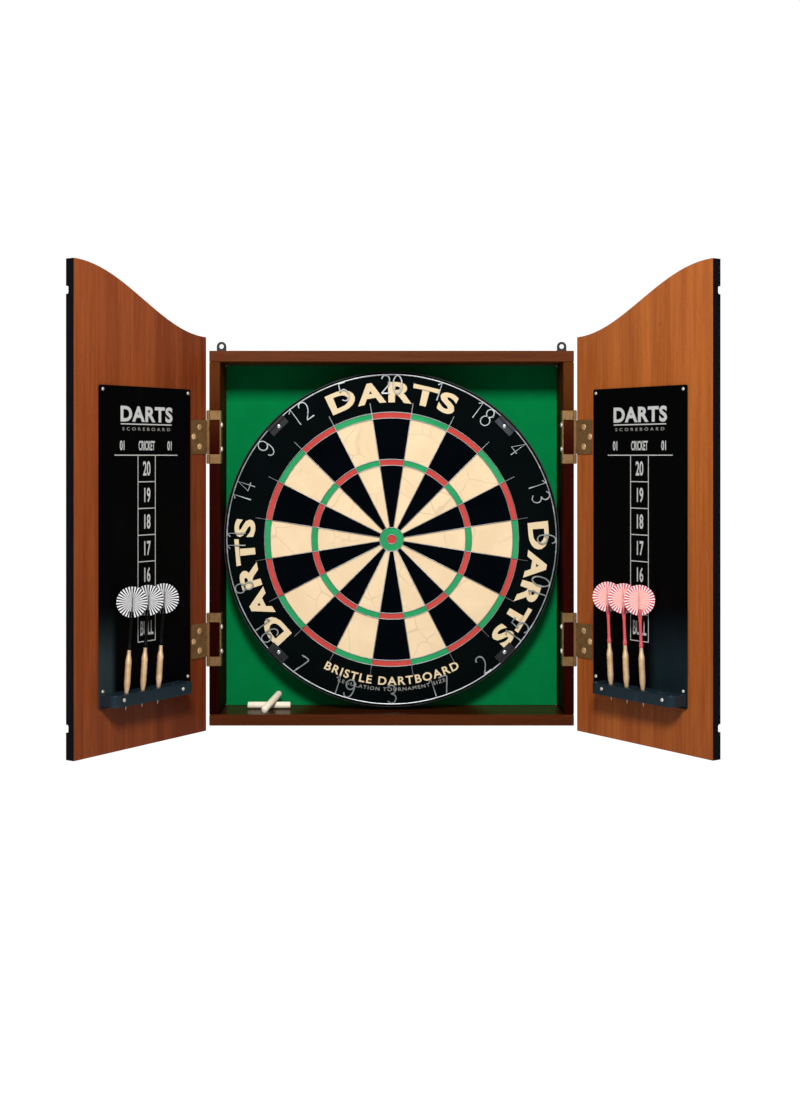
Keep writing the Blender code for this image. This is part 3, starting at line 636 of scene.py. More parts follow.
def black_wood():
    """Black lacquer on wood, for the racks."""
    finish = Finish("black_rack", Coat_Roughness=0.2, Specular_IOR_Level=0.2)
    grain = finish.noise(finish.where(scale=(1, 1, 3)), 260, detail=3, rough=0.6)
    rub = finish.noise(finish.where(), 48, detail=4, rough=0.6).from_to(0.55, 0.78)
    finish.set(Base_Color=finish.mix(rub, (0.0085, 0.0200, 0.0290), (0.0180, 0.0400, 0.0560)),
               Roughness=0.34 + grain * 0.14 + rub * 0.1, Coat_Weight=0.2 - rub * 0.12,
               Normal=finish.bump(grain, 0.00005, 0.4))
    return finish.material


def plastic(name, dark, light, rough=0.35, shine=0.45):
    """Moulded plastic with a faint skin."""
    finish = Finish(name, Specular_IOR_Level=shine)
    skin = finish.noise(finish.where(), 1600, detail=2)
    cloud = finish.noise(finish.where(), 90, detail=3)
    finish.set(Base_Color=finish.mix(cloud, dark, light), Roughness=rough + skin * 0.14,
               Normal=finish.bump(skin, 0.00002, 0.4))
    return finish.material


def hardboard():
    """Pressed fibre board."""
    finish = Finish("hardboard", Specular_IOR_Level=0.2)
    fibre = finish.noise(finish.where(), 520, detail=5, rough=0.7, warp=0.8)
    cloud = finish.noise(finish.where(), 14, detail=3)
    flecks = finish.cells(finish.where(scale=(1, 1, 0.5)), 260).from_to(0.16, 0.06)
    colour = finish.mix(fibre * 0.6 + cloud * 0.4, (0.105, 0.050, 0.021), (0.23, 0.125, 0.058))
    finish.set(Base_Color=finish.mix(flecks * 0.5, colour, (0.05, 0.022, 0.009)),
               Roughness=0.66 + fibre * 0.2, Normal=finish.bump(fibre, 0.0001, 0.5))
    return finish.material


def chipboard():
    """Pressed chips of many tones."""
    finish = Finish("chipboard", Specular_IOR_Level=0.15)
    chips = finish.cells(finish.where(scale=(1, 1, 0.6), turn=(0.3, 0.5, 0)), 240)
    grit = finish.noise(finish.where(), 700, detail=4, rough=0.7)
    colour = finish.mix(chips * 0.7 + grit * 0.4, (0.17, 0.093, 0.043), (0.47, 0.32, 0.175))
    finish.set(Base_Color=colour, Roughness=0.8 + grit * 0.12,
               Normal=finish.bump(grit + chips, 0.00022, 0.5))
    return finish.material


def chalk():
    """Dry cream chalk, rubbed thin in patches and dusty all over."""
    finish = Finish("cream_chalk", Specular_IOR_Level=0.08)
    dust = finish.noise(finish.where(), 800, detail=5, rough=0.7)
    rub = finish.noise(finish.where(), 75, detail=3)
    colour = finish.mix(dust * 0.5 + rub.from_to(0.35, 0.65) * 0.5, (0.95, 0.80, 0.58),
                        (1.0, 0.96, 0.82))
    finish.set(Base_Color=colour, Roughness=0.9 + dust * 0.08,
               Normal=finish.bump(dust + rub, 0.00025, 0.6))
    return finish.material


# painted shade: one veneer in two copies, the left door's darker, each with painted shade toward
# its foot
VENEER = {
    LEFT: wood("door_veneer_left", (0.136, 0.023, 0.0048), (0.345, 0.081, 0.0195), 2,
               offset=0.37, foot_shade=0.55, shade=0.48),
    RIGHT: wood("door_veneer_right", (0.23, 0.044, 0.0075), (0.50, 0.146, 0.029), 2,
                offset=1.91, foot_shade=0.55),
}
# painted light and shade: one mahogany in lit and shaded copies, lightest on the top rail and
# darkest on the side rails
RAIL_WOOD = {
    "top_rail": wood("mahogany_top", (0.060, 0.013, 0.0024), (0.165, 0.043, 0.0105), 0,
                     streak=60, rough=0.45, coat=0.03, offset=0.2, shine=0.06),
    # painted shade on the bottom rail's inner faces
    "bottom_rail": wood("mahogany_bottom", (0.036, 0.006, 0.0008), (0.104, 0.022, 0.0026), 0,
                        streak=60, rough=0.36, coat=0.2, offset=0.9, shine=0.06, inside=0.6),
}
# painted shade down the side rails, with painted light at their tops
for rail_word, rail_offset in (("left", 1.4), ("right", 2.1)):
    RAIL_WOOD[f"side_rail_{rail_word}"] = wood(
        f"mahogany_{rail_word}", (0.0075, 0.0003, 0.0003), (0.033, 0.0027, 0.0009), 2,
        streak=60, rough=0.55, coat=0.0, offset=rail_offset, foot_shade=1.1, shine=0.015, top_light=0.75)
EDGING = black_door_edge()
FELT = felt()
BLACK_BED = bristle("bristle_black", (0.0001, 0.0006, 0.0012), (0.0006, 0.0018, 0.0032), shine=0.02)
CREAM_BED = bristle("bristle_cream", (0.74, 0.55, 0.33), (0.92, 0.72, 0.47), crack=0.26)
RED_BED = bristle("bristle_red", (0.46, 0.040, 0.032), (0.62, 0.075, 0.060))
GREEN_BED = bristle("bristle_green", (0.010, 0.255, 0.085), (0.030, 0.40, 0.135))
SURROUND = bristle("bristle_surround", (0.0001, 0.0008, 0.0010), (0.0008, 0.0028, 0.0034),
                   shine=0.04)
CREAM_INK = ink("cream_ink", (0.86, 0.68, 0.42))
GREY_INK = ink("grey_ink", (0.34, 0.33, 0.31))
WHITE_INK = ink("white_ink", (0.62, 0.62, 0.61))
GALVANISED = metal("galvanised_wire", (0.26, 0.27, 0.28), (0.52, 0.53, 0.54), 0.40)
NUMBER_WIRE = metal("bright_wire", (0.36, 0.39, 0.40), (0.62, 0.66, 0.67), 0.36)
CLIP_STEEL = metal("dark_clip", (0.0014, 0.0018, 0.0030), (0.0060, 0.0072, 0.0100), 0.50,
                   metallic=0.25)
# a lighter copy of the dark clip steel, for one clip
LIGHTER_CLIP_STEEL = metal("lighter_clip", (0.012, 0.015, 0.020), (0.042, 0.050, 0.060), 0.42,
                        metallic=0.45)
BRIGHT_STEEL = metal("bright_steel", (0.60, 0.61, 0.62), (0.86, 0.87, 0.88), 0.24)
PIN_STEEL = metal("pin_steel", (0.62, 0.58, 0.50), (0.90, 0.87, 0.80), 0.40, metallic=0.55)
BLACK_STEEL = metal("black_steel", (0.010, 0.010, 0.011), (0.032, 0.032, 0.034), 0.36, metallic=0.5)
BRASS = metal("aged_brass", (0.165, 0.085, 0.028), (0.36, 0.205, 0.080), 0.36, brush=(1, 1, 0.2),
              metallic=0.60, tarnish=(0.085, 0.044, 0.016))
SCREW_BRASS = metal("screw_brass", (0.55, 0.34, 0.15), (0.90, 0.64, 0.34), 0.30, metallic=0.6)
BARREL_BRASS = metal("barrel_brass", (0.58, 0.36, 0.178), (0.86, 0.61, 0.365), 0.42,
                     brush=(1, 1, 4), metallic=0.35)
PLATE = {side: lacquered_plate(side) for side in SIDES}
RACK = black_wood()
SHAFT_FINISH = {
    LEFT: plastic("black_shaft", (0.0010, 0.0010, 0.0012), (0.0035, 0.0035, 0.0040), shine=0.1),
    RIGHT: plastic("red_shaft", (0.54, 0.060, 0.075), (0.76, 0.125, 0.135)),
}
RAY_FINISH = {
    LEFT: plastic("black_flight", (0.0020, 0.0018, 0.0022), (0.0070, 0.0062, 0.0072), 0.42,
                  shine=0.15),
    RIGHT: plastic("red_flight", (0.56, 0.018, 0.035), (0.74, 0.045, 0.070), 0.42),
}
MIDDLE_RAY = {
    LEFT: plastic("grey_flight", (0.060, 0.058, 0.062), (0.120, 0.116, 0.122), 0.42, shine=0.15),
    RIGHT: plastic("rose_flight", (0.78, 0.26, 0.24), (0.92, 0.38, 0.34), 0.42),
}
PALE_RAY = plastic("white_flight", (0.66, 0.66, 0.68), (0.86, 0.86, 0.87), 0.42)
PALE_MIDDLE = {
    LEFT: PALE_RAY,
    RIGHT: plastic("pink_flight", (0.84, 0.50, 0.46), (0.95, 0.62, 0.57), 0.42),
}
HARDBOARD = hardboard()
CHIPBOARD = chipboard()
CHALK = chalk()


def give(thing, body, slot, *materials):
    """Gives a new piece its finish and the body that it moves with; the slot argument is not used.
    """
    thing.data.materials.clear()
    for material in materials:
        thing.data.materials.append(material)
    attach(thing, body)
    return thing


def paint(thing, index, test):
    """Gives the faces that pass the test one of the piece's materials."""
    for face in thing.data.polygons:
        if test(face.center, face.normal):
            face.material_index = index


def refinish(node, material):
    mesh = frame["nodes"][node].data
    mesh.materials.clear()
    mesh.materials.append(material)


def settle(thing, place):
    thing.data.transform(place)
    return thing


# ---------------------------------------------------------------- camera

CAMERA_DISTANCE = 2.0473
CAMERA_HEIGHT = 0.106


def set_camera():
    bpy.ops.object.camera_add(location=(0, -CAMERA_DISTANCE, CAMERA_HEIGHT),
                              rotation=(math.pi / 2, 0, 0))
    camera = bpy.context.object
    camera.data.lens = 49.1
    camera.data.sensor_width = 36
    camera.data.shift_x = 0.00766
    camera.data.shift_y = -0.0825
    camera.data.clip_start = 0.05
    bpy.context.scene.camera = camera


# ---------------------------------------------------------------- board

def polar(point):
    return math.hypot(point.x, point.y), math.atan2(point.x, point.y) % (2 * math.pi)


def bed_of(point):
    """Which of black, cream, red, green and surround a place on the face is."""
    radius, angle = polar(point)
    even = int((angle + SECTOR / 2) / SECTOR) % 2 == 0
    if radius > DOUBLE_RADII[1]:
        return 4
    if radius < BULL_RADIUS:
        return 2
    if radius < OUTER_BULL_RADIUS:
        return 3
    if TREBLE_RADII[0] < radius < TREBLE_RADII[1] or radius > DOUBLE_RADII[0]:
        return 2 if even else 3
    return 0 if even else 1


def make_board():
    place = board_place()
    low, high = local_box("board_core", place)
    radius = high.x
    rings = [(radius, low.z), (radius, -0.0016), (radius - 0.0004, -0.0006), (radius - 0.0014, 0),
             *((reach, 0) for reach in FACE_RINGS)]
    face = turned("bristle_face", rings, ROUND_SEGMENTS)
    give(face, "dartboard", "bristle", BLACK_BED, CREAM_BED, RED_BED, GREEN_BED, SURROUND)
    for polygon in face.data.polygons:
        polygon.material_index = bed_of(polygon.center) if polygon.center.z > -0.0001 else 4
    smooth(settle(face, place))
    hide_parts("board_core")

    low, high = local_box("rim_band", place)
    wall = high.x - local_box("board_core", place)[1].x
    inner = high.x - min(wall, BAND_WALL)
    rings = [(high.x - BAND_EASE, low.z), (high.x, low.z + BAND_EASE),
             (high.x, high.z - BAND_EASE), (high.x - BAND_EASE, high.z)]
    band = turned("steel_band", rings, ROUND_SEGMENTS)
    edit(band)
    choose(lambda middle, normal: abs(normal.z) > 0.99 and middle.length_squared < high.x ** 2 / 4
           or abs(normal.z) > 0.9999)
    bpy.ops.mesh.inset(thickness=high.x - BAND_EASE - inner, use_even_offset=True)
    bpy.ops.mesh.bridge_edge_loops()
    leave()
    give(close_up(band), "dartboard", "black_steel", BLACK_STEEL)
    smooth(settle(band, place))
    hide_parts("rim_band")


def make_spider():
    """The beds' wires: rings laid over straight spokes whose ends are rounded off."""
    place = board_place()
    low, high = local_box("wire_spider", place)
    wire = (high.z - low.z) / 2
    middle = (high.z + low.z) / 2
    clear_selection()
    length = SPOKE_END - OUTER_BULL_RADIUS
    bpy.ops.mesh.primitive_cylinder_add(vertices=8, radius=wire, depth=length)
    spoke = named("spoke")
    edit(spoke)
    choose(lambda centre, normal: abs(normal.z) > 0.9)
    bpy.ops.mesh.inset(thickness=wire * 0.45)
    bpy.ops.transform.resize(value=(1, 1, 1 + wire / length), center_override=(0, 0, 0))
    leave()
    along = Matrix.Rotation(math.radians(90), 4, "Y")
    settle(spoke, Matrix.Translation((OUTER_BULL_RADIUS + length / 2, 0, middle)) @ along)
    pieces = [copy_of(spoke, "spoke", Matrix.Rotation(SECTOR * (k + 0.5) + math.pi / 2, 4, "Z"))
              for k in range(20)]
    bpy.data.objects.remove(spoke)
    for radius in (OUTER_BULL_RADIUS, *TREBLE_RADII, *DOUBLE_RADII):
        pieces.append(ring("bed_ring", radius, wire, middle))
    spider = join("sector_wires", *pieces)
    give(spider, "dartboard", "bright_steel", GALVANISED)
    smooth(settle(spider, place), 60)
    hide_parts("wire_spider")

    bull = ring("bull_loop", BULL_RADIUS, wire, middle)
    give(bull, "dartboard", "bright_steel", GALVANISED)
    smooth(settle(bull, place), 60)
    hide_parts("bull_wire")


DIGITS = {
    "0": [(True, True, [(.5, 1), (.14, .84), (0, .5), (.14, .16), (.5, 0), (.86, .16), (1, .5),
                        (.86, .84)])],
    "1": [(False, False, [(.10, .86), (.5, 1), (.5, 0)])],
    "2": [(True, False, [(.04, .80), (.20, .95), (.5, 1), (.84, .92), (.96, .72), (.82, .48),
                         (.45, .24), (0, 0)]),
          (False, False, [(0, 0), (1, 0)])],
    "3": [(True, False, [(.04, .88), (.45, 1), (.90, .86), (.84, .62), (.42, .53)]),
          (True, False, [(.42, .53), (.88, .44), (.98, .20), (.52, 0), (.04, .12)])],
    "4": [(False, False, [(.70, 0), (.70, 1), (0, .30), (1, .30)])],
    "5": [(False, False, [(.92, 1), (.20, 1), (.10, .56)]),
          (True, False, [(.10, .56), (.50, .64), (.92, .46), (.94, .18), (.50, 0), (.04, .10)])],
    "6": [(True, False, [(.98, .80), (.78, .97), (.38, .98), (.04, .74), (0, .34), (.14, .08),
                         (.52, 0), (.94, .14), (.96, .38), (.60, .54), (.20, .48), (0, .34)])],
    "7": [(True, False, [(0, .98), (.55, 1), (.94, .97), (.90, .80), (.60, .38), (.34, 0)])],
    "8": [(True, True, [(.5, 1), (.14, .90), (.14, .64), (.5, .53), (.86, .64), (.86, .90)]),
          (True, True, [(.5, .53), (.06, .42), (.06, .12), (.5, 0), (.94, .12), (.94, .42)])],
    "9": [(True, False, [(.02, .20), (.22, .03), (.62, .02), (.96, .26), (1, .66), (.86, .92),
                         (.48, 1), (.06, .86), (.04, .62), (.40, .46), (.80, .52), (1, .66)])],
}


def numeral_strokes(number):
    """The wire strokes of a number, drawn upright about the middle of its height."""
    word = str(number)
    pitch = NUMERAL_WIDTH + NUMERAL_GAP
    strokes = []
    for index, digit in enumerate(word):
        start = (index - (len(word) - 1) / 2) * pitch - NUMERAL_WIDTH / 2
        for bends, closed, points in DIGITS[digit]:
            spots = [(start + x * NUMERAL_WIDTH, (y - 0.5) * NUMERAL_HEIGHT) for x, y in points]
            strokes.append((bends, closed, spots))
    return strokes


def make_number_ring():
    place = board_place()
    low, high = local_box("number_ring", place)
    wire = (high.z - low.z) / 2
    middle = (high.z + low.z) / 2
    radius = high.x - wire
    pieces = [ring("number_hoop", radius, wire * 0.98, middle)]
    reach = radius - wire - NUMERAL_HEIGHT / 2
    for index, number in enumerate(NUMBERS):
        numeral = bent_wire("numeral", numeral_strokes(number), NUMERAL_WIRE)
        angle = -SECTOR * index
        flip = math.pi if number in LOWER_NUMBERS else 0
        spin = Matrix.Rotation(angle, 4, "Z") @ Matrix.Translation((0, reach, middle))
        settle(numeral, spin @ Matrix.Rotation(flip, 4, "Z"))
        pieces.append(numeral)
    hoop = join("number_ring_wires", *pieces)
    give(hoop, "dartboard", "bright_steel", NUMBER_WIRE)
    smooth(settle(hoop, place), 60)
    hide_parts("number_ring")


def screw_head(name, radius, dome):
    """A domed head with a cross recess, standing on Z = 0."""
    rings = [(radius, 0), (radius, dome * 0.25), (radius * 0.93, dome * 0.55),
             (radius * 0.72, dome * 0.84), (radius * 0.38, dome)]
    head = turned(name, rings, 20)
    arm, half = radius * 0.62, radius * 0.13
    cross = [(arm, -half), (arm, half), (half, half), (half, arm), (-half, arm), (-half, half),
             (-arm, half), (-arm, -half), (-half, -half), (-half, -arm), (half, -arm),
             (half, -half)]
    recess = sheet("recess", cross, dome, dome * 0.35)
    return carve(head, recess)


def screws(name, radius, dome, spots, place, body, slot, material):
    """A set of equal screws at (x, y, height, turn) places on a face."""
    head = screw_head("screw", radius, dome)
    copies = []
    for x, y, height, turn in spots:
        spot = Matrix.Translation((x, y, height)) @ Matrix.Rotation(math.radians(turn), 4, "Z")
        copies.append(copy_of(head, "screw", spot))
    bpy.data.objects.remove(head)
    group = join(name, *copies)
    give(group, body, slot, material)
    smooth(settle(group, place), 40)
    return group


def make_clip_screws():
    place = board_place()
    spots = []
    for number in range(4):
        angle = math.radians(45 + 90 * number)
        spots.append((CLIP_SCREW_RADIUS * math.cos(angle), CLIP_SCREW_RADIUS * math.sin(angle),
                      0.0011, 20 + 31 * number))
        # the first clip takes a lighter copy of the clip steel
        refinish(f"ring_clip_{number + 1}", CLIP_STEEL if number else LIGHTER_CLIP_STEEL)
    screws("clip_screws", 0.0030, 0.0014, spots, place, "dartboard", "bright_steel", BRIGHT_STEEL)


def make_board_print():
    """Cream words round the surround, in plain capitals, each reading clockwise."""
    place = board_place()
    words = []
    for angle in (90, 198, -18.5):
        word = lettering("arched_word", "DARTS", 0.0262, bold=0.055, width=1.36, gap=1.16)
        words.append(wrap(word, 0.1845, math.radians(angle)))
    line = lettering("lower_words", "BRISTLE DARTBOARD", 0.0112, bold=0.03, width=1.10, gap=1.19)
    words.append(wrap(line, 0.1948, math.radians(270), outward=False))
    cream = join("cream_words", *words)
    give(cream, "dartboard", "bristle", CREAM_INK)
    settle(cream, place)
    small = lettering("small_words", "REGULATION TOURNAMENT SIZE", 0.0048, bold=0.01, width=1.22,
                      gap=1.25)
    give(small, "dartboard", "bristle", GREY_INK)
    settle(wrap(small, 0.2030, math.radians(270), outward=False), place)


# ---------------------------------------------------------------- doors

def crown(u, reach, shoulder, top):
    """The door's top edge: an ogee that rises from the hinge to the free edge."""
    return shoulder + (top - shoulder) * (1 - math.cos(math.pi * min(u / reach, 1))) / 2


def groove_cutter(side, near, foot, reach, shoulder, top, floor):
    """The line routed into the door's outer face: along the foot, up beside the hinge and round
    the crown. It runs out through the free edge at both ends, and its floor is rounded."""
    start = near + GROOVE_INSET
    end = reach + 0.004
    low = foot + GROOVE_INSET

    def bow(first, drop):
        steps = [first + (end - first) * step / CROWN_STEPS for step in range(CROWN_STEPS + 1)]
        return [(side * u, crown(u, reach, shoulder, top) - drop) for u in steps]

    outline = [(side * end, low), (side * end, low + GROOVE_WIDTH),
               (side * (start + GROOVE_WIDTH), low + GROOVE_WIDTH)]
    outline += bow(start + GROOVE_WIDTH, GROOVE_INSET + GROOVE_WIDTH)
    outline += reversed(bow(start, GROOVE_INSET))
    outline.append((side * start, low))
    cutter = sheet("groove", outline, 2 * GROOVE_DEPTH, floor - GROOVE_DEPTH)
    return round_edges(cutter, 0.0028, 4, 50)


def make_door(side):
    word = SIDES[side]
    place = door_place(side)
    low, high = local_box(f"door_panel_{word}", place)
    near, reach = sorted((abs(low.x), abs(high.x)))
    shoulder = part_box("top_rail")[1][2] + DOOR_SHOULDER
    steps = [near + (reach - near) * step / CROWN_STEPS for step in range(CROWN_STEPS + 1)]
    outline = [(side * near, low.y), (side * reach, low.y)]
    outline += [(side * u, crown(u, reach, shoulder, high.y)) for u in reversed(steps)]
    panel = sheet(f"door_{word}", outline, high.z - low.z, low.z)
    carve(panel, groove_cutter(side, near, low.y, reach, shoulder, high.y, low.z))
    round_edges(panel, 0.0009, 2, 50)
    give(panel, f"{word}_door", "door_veneer", VENEER[side], EDGING)
    paint(panel, 1, lambda middle, normal: abs(middle.x) > reach - 0.0006 and abs(normal.x) > 0.6)
    paint(panel, 1, lambda middle, normal: abs(normal.z) < 0.5 and middle.y > shoulder - 0.01
          and normal.y > 0.3)
    smooth_flats(settle(panel, place), 40)
    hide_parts(f"door_panel_{word}")


def strip(name, low, high):
    """A printed bar with its corners just eased."""
    return sheet(name, rounded_rectangle(low, high, 0.0003, 2), PRINT_DEPTH, PRINT_LIFT)


def make_scoreboard(side):
    word = SIDES[side]
    place = door_place(side)
    body = f"{word}_door"
    low, high = local_box(f"scoreboard_{word}", place)
    outline = rounded_rectangle((low.x, low.y), (high.x, high.y), 0.0022)
    plate = round_edges(sheet(f"scoreboard_plate_{word}", outline, high.z - low.z, low.z), 0.0005)
    give(plate, body, "black_gloss", PLATE[side])
    smooth_flats(settle(plate, place))
    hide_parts(f"scoreboard_{word}")

    middle = side * LADDER_MIDDLE[side]
    half = LADDER_WIDTH / 2
    bottom = LADDER_TOP - CELL_HEIGHT * len(LADDER_WORDS)
    line = LINE_WIDTH / 2
    marks = [strip("bar", (middle - HEADER_REACH, LADDER_TOP - line),
                   (middle + HEADER_REACH, LADDER_TOP + line))]
    for edge in (middle - half, middle + half):
        marks.append(strip("bar", (edge - line, bottom - line),
                           (edge + line, LADDER_TOP - line * 1.2)))
    for index, label in enumerate(LADDER_WORDS):
        foot = LADDER_TOP - CELL_HEIGHT * (index + 1)
        marks.append(strip("bar", (middle - half + line * 1.1, foot - line),
                           (middle + half - line * 1.1, foot + line)))
        text = lettering("label", label, 0.0180, bold=0.026, width=0.43 if len(label) > 2 else 0.56)
        settle(text, Matrix.Translation((middle, foot + CELL_HEIGHT / 2 - 0.0084, 0)))
        marks.append(text)
    for label, offset, width in HEADER_WORDS:
        text = lettering("label", label, 0.0118, bold=0.03, width=width)
        marks.append(settle(text, Matrix.Translation((middle + offset, LADDER_TOP + 0.0064, 0))))
    title = lettering("label", "DARTS", 0.0185, bold=0.05, width=1.14, gap=1.10)
    marks.append(settle(title, Matrix.Translation((middle, 0.1512, 0))))
    marks.append(strip("bar", (middle - 0.046, 0.1466), (middle + 0.046, 0.1480)))
    ladder = join(f"scoreboard_print_{word}", *marks)
    settle(ladder, Matrix.Translation((0, 0, high.z)))
    give(ladder, body, "black_gloss", WHITE_INK)
    settle(ladder, place)
    small = lettering(f"scoreboard_small_print_{word}", "SCOREBOARD", 0.0040, bold=0.012,
                      width=1.6, gap=1.75)
    settle(small, Matrix.Translation((middle, 0.1395, high.z)))
    give(small, body, "black_gloss", GREY_INK)
    settle(small, place)

    inset = 0.0052
    shelf = local_box(f"dart_rack_{word}", place)[1].y
    spots = [(x, y, high.z, 17 * number) for number, (x, y) in enumerate(
        ((low.x + inset, shelf + 0.0030), (high.x - inset, shelf + 0.0030),
         (low.x + inset, high.y - inset), (high.x - inset, high.y - inset)))]
    screws(f"plate_pins_{word}", 0.0021, 0.0012, spots, place, body, "bright_steel", PIN_STEEL)


def make_rack(side):
    """A shelf with rounded front corners and countersunk holes, screwed to the scoreboard."""
    word = SIDES[side]
    place = door_place(side)
    body = f"{word}_door"
    low, high = local_box(f"dart_rack_{word}", place)
    corner = RACK_CORNER
    # drawn as seen from above: X along the door and Y out from it
    outline = [(low.x, low.z), (high.x, low.z)]
    for x, start in ((high.x - corner, 0), (low.x + corner, 90)):
        for step in range(9):
            angle = math.radians(start + 90 * step / 8)
            outline.append((x + corner * math.cos(angle),
                            high.z - corner + corner * math.sin(angle)))
    rack = sheet(f"rack_{word}", outline, high.y - low.y, low.y)
    round_edges(rack, 0.0009, 2, 50)
    middle = (low.x + high.x) / 2
    rings = [(RACK_HOLE_RADIUS, low.y - 0.002), (RACK_HOLE_RADIUS, high.y - 0.0011),
             (COUNTERSINK_RADIUS, high.y + 0.0002), (COUNTERSINK_RADIUS, high.y + 0.002)]
    for index in range(4):
        spot = (middle + RACK_HOLE_PITCH * (index - 1.5), low.z + RACK_HOLE_ROW, 0)
        hole = settle(turned("hole", rings, 28), Matrix.Translation(spot))
        carve(rack, hole)
    stand = Matrix(((1, 0, 0, 0), (0, 0, 1, 0), (0, 1, 0, 0), (0, 0, 0, 1)))
    give(close_up(settle(rack, stand)), body, "black_gloss", RACK)
    smooth_flats(settle(rack, place))
    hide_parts(f"dart_rack_{word}")
    height = (low.y + high.y) / 2 + 0.001
    spots = [(side * u, height, high.z, 33 * number) for number, u in enumerate(RACK_SCREWS)]
    screws(f"rack_screws_{word}", 0.0023, 0.0012, spots, place, body, "bright_steel", PIN_STEEL)


def make_hinges(side):
    """Screws on the hinges' leaves, and an aged finish on the leaves and pins."""
    word = SIDES[side]
    place = door_place(side)
    spots = []
    strap = []
    for level in ("upper", "lower"):
        low, high = local_box(f"door_leaf_{level}_{word}", place, beyond=KNUCKLE_END)
        middle = (low.y + high.y) / 2
        for u, rise, turn in LEAF_SCREWS:
            spots.append((side * u, middle + rise, high.z, turn))
        low, high = (Vector(corner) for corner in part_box(f"frame_leaf_{level}_{word}"))
        inner = high.x if side == LEFT else low.x
        for rise, turn in STRAP_SCREWS:
            strap.append(((low.y + high.y) / 2 - 0.0005, (low.z + high.z) / 2 + rise, inner, turn))
        for node in ("door_leaf", "frame_leaf", "hinge_pin"):
            refinish(f"{node}_{level}_{word}", BRASS)
    screws(f"door_hinge_screws_{word}", 0.0041, 0.0010, spots, place, f"{word}_door", "hinge_brass",
           SCREW_BRASS)
    # on the straps, Z points into the cabinet: toward +X on the left and -X on the right
    turned_in = Matrix(((0, 0, -side, 0), (1, 0, 0, 0), (0, -side, 0, 0), (0, 0, 0, 1)))
    spots = [(y, -side * z, -side * x, turn) for y, z, x, turn in strap]
    screws(f"strap_screws_{word}", 0.0034, 0.0020, spots, turned_in, "cabinet", "bright_steel",
           PIN_STEEL)


# ---------------------------------------------------------------- darts and chalk

def barrel_piece(length, start, radius):
    """A point in a ringed brass barrel that tapers at both ends."""
    rings = [*POINT_RINGS, (0.00115, start - 0.0002),
             *((around, start + rise) for around, rise in NOSE_RINGS), (radius, start + 0.0150)]
    first, last = start + 0.0165, length - 0.0160
    pitch = (last - first) / BARREL_GROOVES
    for index in range(BARREL_GROOVES):
        foot = first + pitch * index
        rings += [(radius, foot), (radius - 0.0003, foot + pitch * 0.16),
                  (radius - 0.0003, foot + pitch * 0.40), (radius, foot + pitch * 0.56)]
    rings.append((radius, length - 0.0135))
    rings += [(around, length - back) for around, back in TAIL_RINGS]
    return turned("barrel", rings, 24)


def shaft_piece(start, slot, top):
    """A waisted stem with a collar, slit crosswise at its end."""
    rings = [(0.0024, start), (0.0026, start + 0.0006), (0.0026, start + 0.004),
             (0.0021, start + 0.0055), (0.0019, start + 0.009),
             (0.0019, slot - 0.009), (0.0023, slot - 0.004),
             (0.0026, slot - 0.001), (0.0026, top - 0.0006), (0.0022, top)]
    stem = turned("shaft", rings, 24)
    half, reach = 0.00045, 0.005
    for x, y in ((half, reach), (reach, half)):
        bar = [(-x, -y), (x, -y), (x, y), (-x, y)]
        carve(stem, sheet("slit", bar, top - slot + 0.002, slot))
    return stem


def flight_piece(radius, middle, thickness):
    """Two crossed discs, cut into narrow rays like a sunburst."""
    clear_selection()
    bpy.ops.mesh.primitive_circle_add(vertices=2 * RAYS, radius=radius, fill_type="TRIFAN")
    disc = named("disc")
    edit(disc)
    for width in (0.035, 0.30):
        choose(lambda centre, normal: centre.length < radius * 0.95)
        bpy.ops.mesh.inset(thickness=radius * width)
    bpy.ops.mesh.select_all(action="SELECT")
    bpy.ops.mesh.extrude_region_move(TRANSFORM_OT_translate={"value": (0, 0, thickness)})
    bpy.ops.mesh.select_all(action="SELECT")
    bpy.ops.mesh.normals_make_consistent(inside=False)
    bpy.ops.transform.translate(value=(0, 0, -thickness / 2))
    leave()
    fins = []
    for turn in (0, 90):
        stand = Matrix.Rotation(math.radians(turn), 4, "Z") @ Matrix.Rotation(math.pi / 2, 4, "X")
        fins.append(copy_of(disc, "fin", Matrix.Translation((0, 0, middle)) @ stand))
    bpy.data.objects.remove(disc)
    return join("flight", *fins)


def paint_rays(flight, middle, radius):
    """Every other ray takes the pale finish, and toward the middle the print is washed out."""
    for face in flight.data.polygons:
        across = face.center.x if abs(face.normal.y) > 0.5 else face.center.y
        if abs(face.normal.x) < 0.5 and abs(face.normal.y) < 0.5:
            across = face.center.x if abs(face.center.y) < 0.0004 else face.center.y
        angle = math.atan2(face.center.z - middle, across) % (2 * math.pi)
        reach = math.hypot(face.center.z - middle, across)
        pale = int(angle / (math.pi / RAYS)) % 2
        washed = reach < radius * WASHED_SHARE
        face.material_index = pale + 2 * washed


